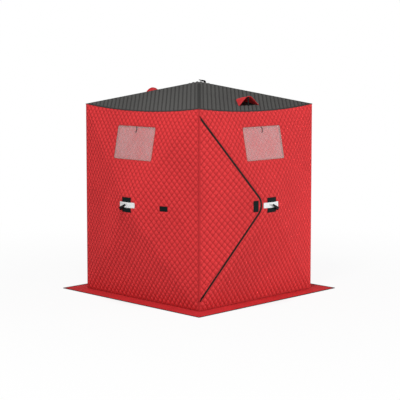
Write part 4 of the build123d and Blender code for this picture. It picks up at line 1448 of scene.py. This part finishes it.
class SHELTER_OT_stage(bpy.types.Operator):
    """Set the pale floor, the soft lights and the camera"""

    bl_idname = "ice_shelter.stage"
    bl_label = "Stage"

    def execute(self, context):
        scene = context.scene
        self.floor()
        self.world(scene)
        self.lamp(scene, "key_light", (-3.2, -2.1, 6.3), width=1.6, power=225.0)
        self.lamp(scene, "right_light", (4.4, -6.0, 0.7), width=2.0, power=320.0)
        self.lamp(scene, "left_light", (-7.0, -1.4, 1.6), width=2.4, power=80.0)
        self.camera(scene)
        scene.view_settings.view_transform = "Standard"
        return {"FINISHED"}

    def floor(self):
        """A pale floor that is seen as near white, and a little greyer under and round the shelter, partly
        from the lamps' real shadow and partly from painted shade, as its white glow is turned down there.
        """
        x, y = np.meshgrid(np.linspace(-30.0, 30.0, 13), np.linspace(-30.0, 30.0, 13))
        finish = Finish("pale_floor")
        finish.set(Roughness=0.9)
        finish.shader.inputs["Base Color"].default_value = (0.74, 0.74, 0.74, 1.0)
        finish.shader.inputs["Specular IOR Level"].default_value = 0.1
        glow = finish.node("ShaderNodeEmission")
        glow.inputs["Color"].default_value = (1.0, 1.0, 1.0, 1.0)
        seen = finish.node("ShaderNodeLightPath")
        mixed = finish.node("ShaderNodeMixShader")
        mirrored = finish.sum("MAXIMUM", seen.outputs["Is Glossy Ray"], seen.outputs["Is Transmission Ray"])
        share = finish.sum("MAXIMUM", seen.outputs["Is Camera Ray"], mirrored)
        away = finish.node("ShaderNodeVectorMath", operation="LENGTH")
        finish.link(finish.place(), away.inputs[0])
        # painted shade: the white glow seen by the camera and in reflections falls off under and round the
        # shelter
        white = finish.sum("MULTIPLY", finish.span(away.outputs["Value"], 0.7, 1.1, 0.50, 1.0),
                           finish.span(away.outputs["Value"], 1.2, 5.0, 0.92, 1.0))
        finish.link(finish.sum("MULTIPLY", share, white), mixed.inputs[0])
        finish.link(finish.shader.outputs[0], mixed.inputs[1])
        finish.link(glow.outputs[0], mixed.inputs[2])
        finish.link(mixed.outputs[0], finish.tree.nodes["Material Output"].inputs["Surface"])
        points = np.stack([x, y, np.full_like(x, -0.0005)], axis=-1)
        floor = put("floor", points, [grid_faces(*x.shape)[:, ::-1]], None, ())
        floor.data.materials.append(finish.material)

    def world(self, scene):
        """White to look at, and a dimmer even light on the shelter."""
        world = bpy.data.worlds.new("studio")
        world.use_nodes = True
        tree = world.node_tree
        plain = tree.nodes["Background"]
        plain.inputs["Color"].default_value = (1.0, 1.0, 1.0, 1.0)
        plain.inputs["Strength"].default_value = 0.42
        white = tree.nodes.new("ShaderNodeBackground")
        white.inputs["Strength"].default_value = 1.0
        white.inputs["Color"].default_value = (1.0, 1.0, 1.0, 1.0)
        seen = tree.nodes.new("ShaderNodeLightPath")
        most = tree.nodes.new("ShaderNodeMath")
        most.operation = "MAXIMUM"
        mixed = tree.nodes.new("ShaderNodeMixShader")
        tree.links.new(seen.outputs["Is Camera Ray"], most.inputs[0])
        tree.links.new(seen.outputs["Is Transmission Ray"], most.inputs[1])
        tree.links.new(most.outputs[0], mixed.inputs[0])
        tree.links.new(plain.outputs[0], mixed.inputs[1])
        tree.links.new(white.outputs[0], mixed.inputs[2])
        tree.links.new(mixed.outputs[0], tree.nodes["World Output"].inputs["Surface"])
        scene.world = world

    def lamp(self, scene, name, place, width, power):
        """A round soft lamp that looks at the middle of the shelter."""
        light = bpy.data.lights.new(name, "AREA")
        light.shape = "DISK"
        light.size = width
        light.energy = power
        lamp = bpy.data.objects.new(name, light)
        scene.collection.objects.link(lamp)
        lamp.location = place
        lamp.rotation_mode = "QUATERNION"
        lamp.rotation_quaternion = (Vector(LAMP_AIM) - Vector(place)).to_track_quat("-Z", "Y")

    def camera(self, scene):
        """The camera faces the near corner from its diagonal and looks down a little."""
        away, height, off, down, swing = 11.7753, 2.3102, -0.0096, 5.110, 0.0926
        shot = bpy.data.cameras.new("camera")
        shot.sensor_width = 36.0
        shot.lens = 109.98
        shot.shift_y = -0.1
        shot.clip_end = 200.0
        shot.dof.use_dof = False
        made = bpy.data.objects.new("camera", shot)
        side = off / math.sqrt(2.0)
        made.location = (-away / math.sqrt(2.0) + side, -away / math.sqrt(2.0) - side, height)
        made.rotation_euler = Euler((math.radians(90.0 - down), 0.0, math.radians(-45.0 - swing)))
        scene.collection.objects.link(made)
        scene.camera = made


class SHELTER_PT_panel(bpy.types.Panel):
    bl_idname = "SHELTER_PT_panel"
    bl_label = "Ice Shelter"
    bl_space_type = "VIEW_3D"
    bl_region_type = "UI"
    bl_category = "Ice Shelter"

    def draw(self, context):
        layout = self.layout
        for step in STEPS:
            layout.operator(step.bl_idname)
        for group in (context.scene.ice_shelter_sizes, context.scene.ice_shelter_colours):
            box = layout.box()
            for key in group.__annotations__:
                box.prop(group, key)


STEPS = (
    SHELTER_OT_stage,
    SHELTER_OT_walls,
    SHELTER_OT_door,
    SHELTER_OT_zip,
    SHELTER_OT_roof,
    SHELTER_OT_skirt,
    SHELTER_OT_windows,
    SHELTER_OT_fittings,
    SHELTER_OT_vents,
    SHELTER_OT_frame,
)


def register():
    for group in (ShelterSizes, ShelterColours) + STEPS + (SHELTER_PT_panel,):
        bpy.utils.register_class(group)
    bpy.types.Scene.ice_shelter_sizes = PointerProperty(type=ShelterSizes)
    bpy.types.Scene.ice_shelter_colours = PointerProperty(type=ShelterColours)


def unregister():
    del bpy.types.Scene.ice_shelter_colours
    del bpy.types.Scene.ice_shelter_sizes
    for group in reversed((ShelterSizes, ShelterColours) + STEPS + (SHELTER_PT_panel,)):
        bpy.utils.unregister_class(group)


def main():
    register()
    for step in STEPS:
        group, name = step.bl_idname.split(".")
        getattr(getattr(bpy.ops, group), name)()


if __name__ == "__main__":
    main()
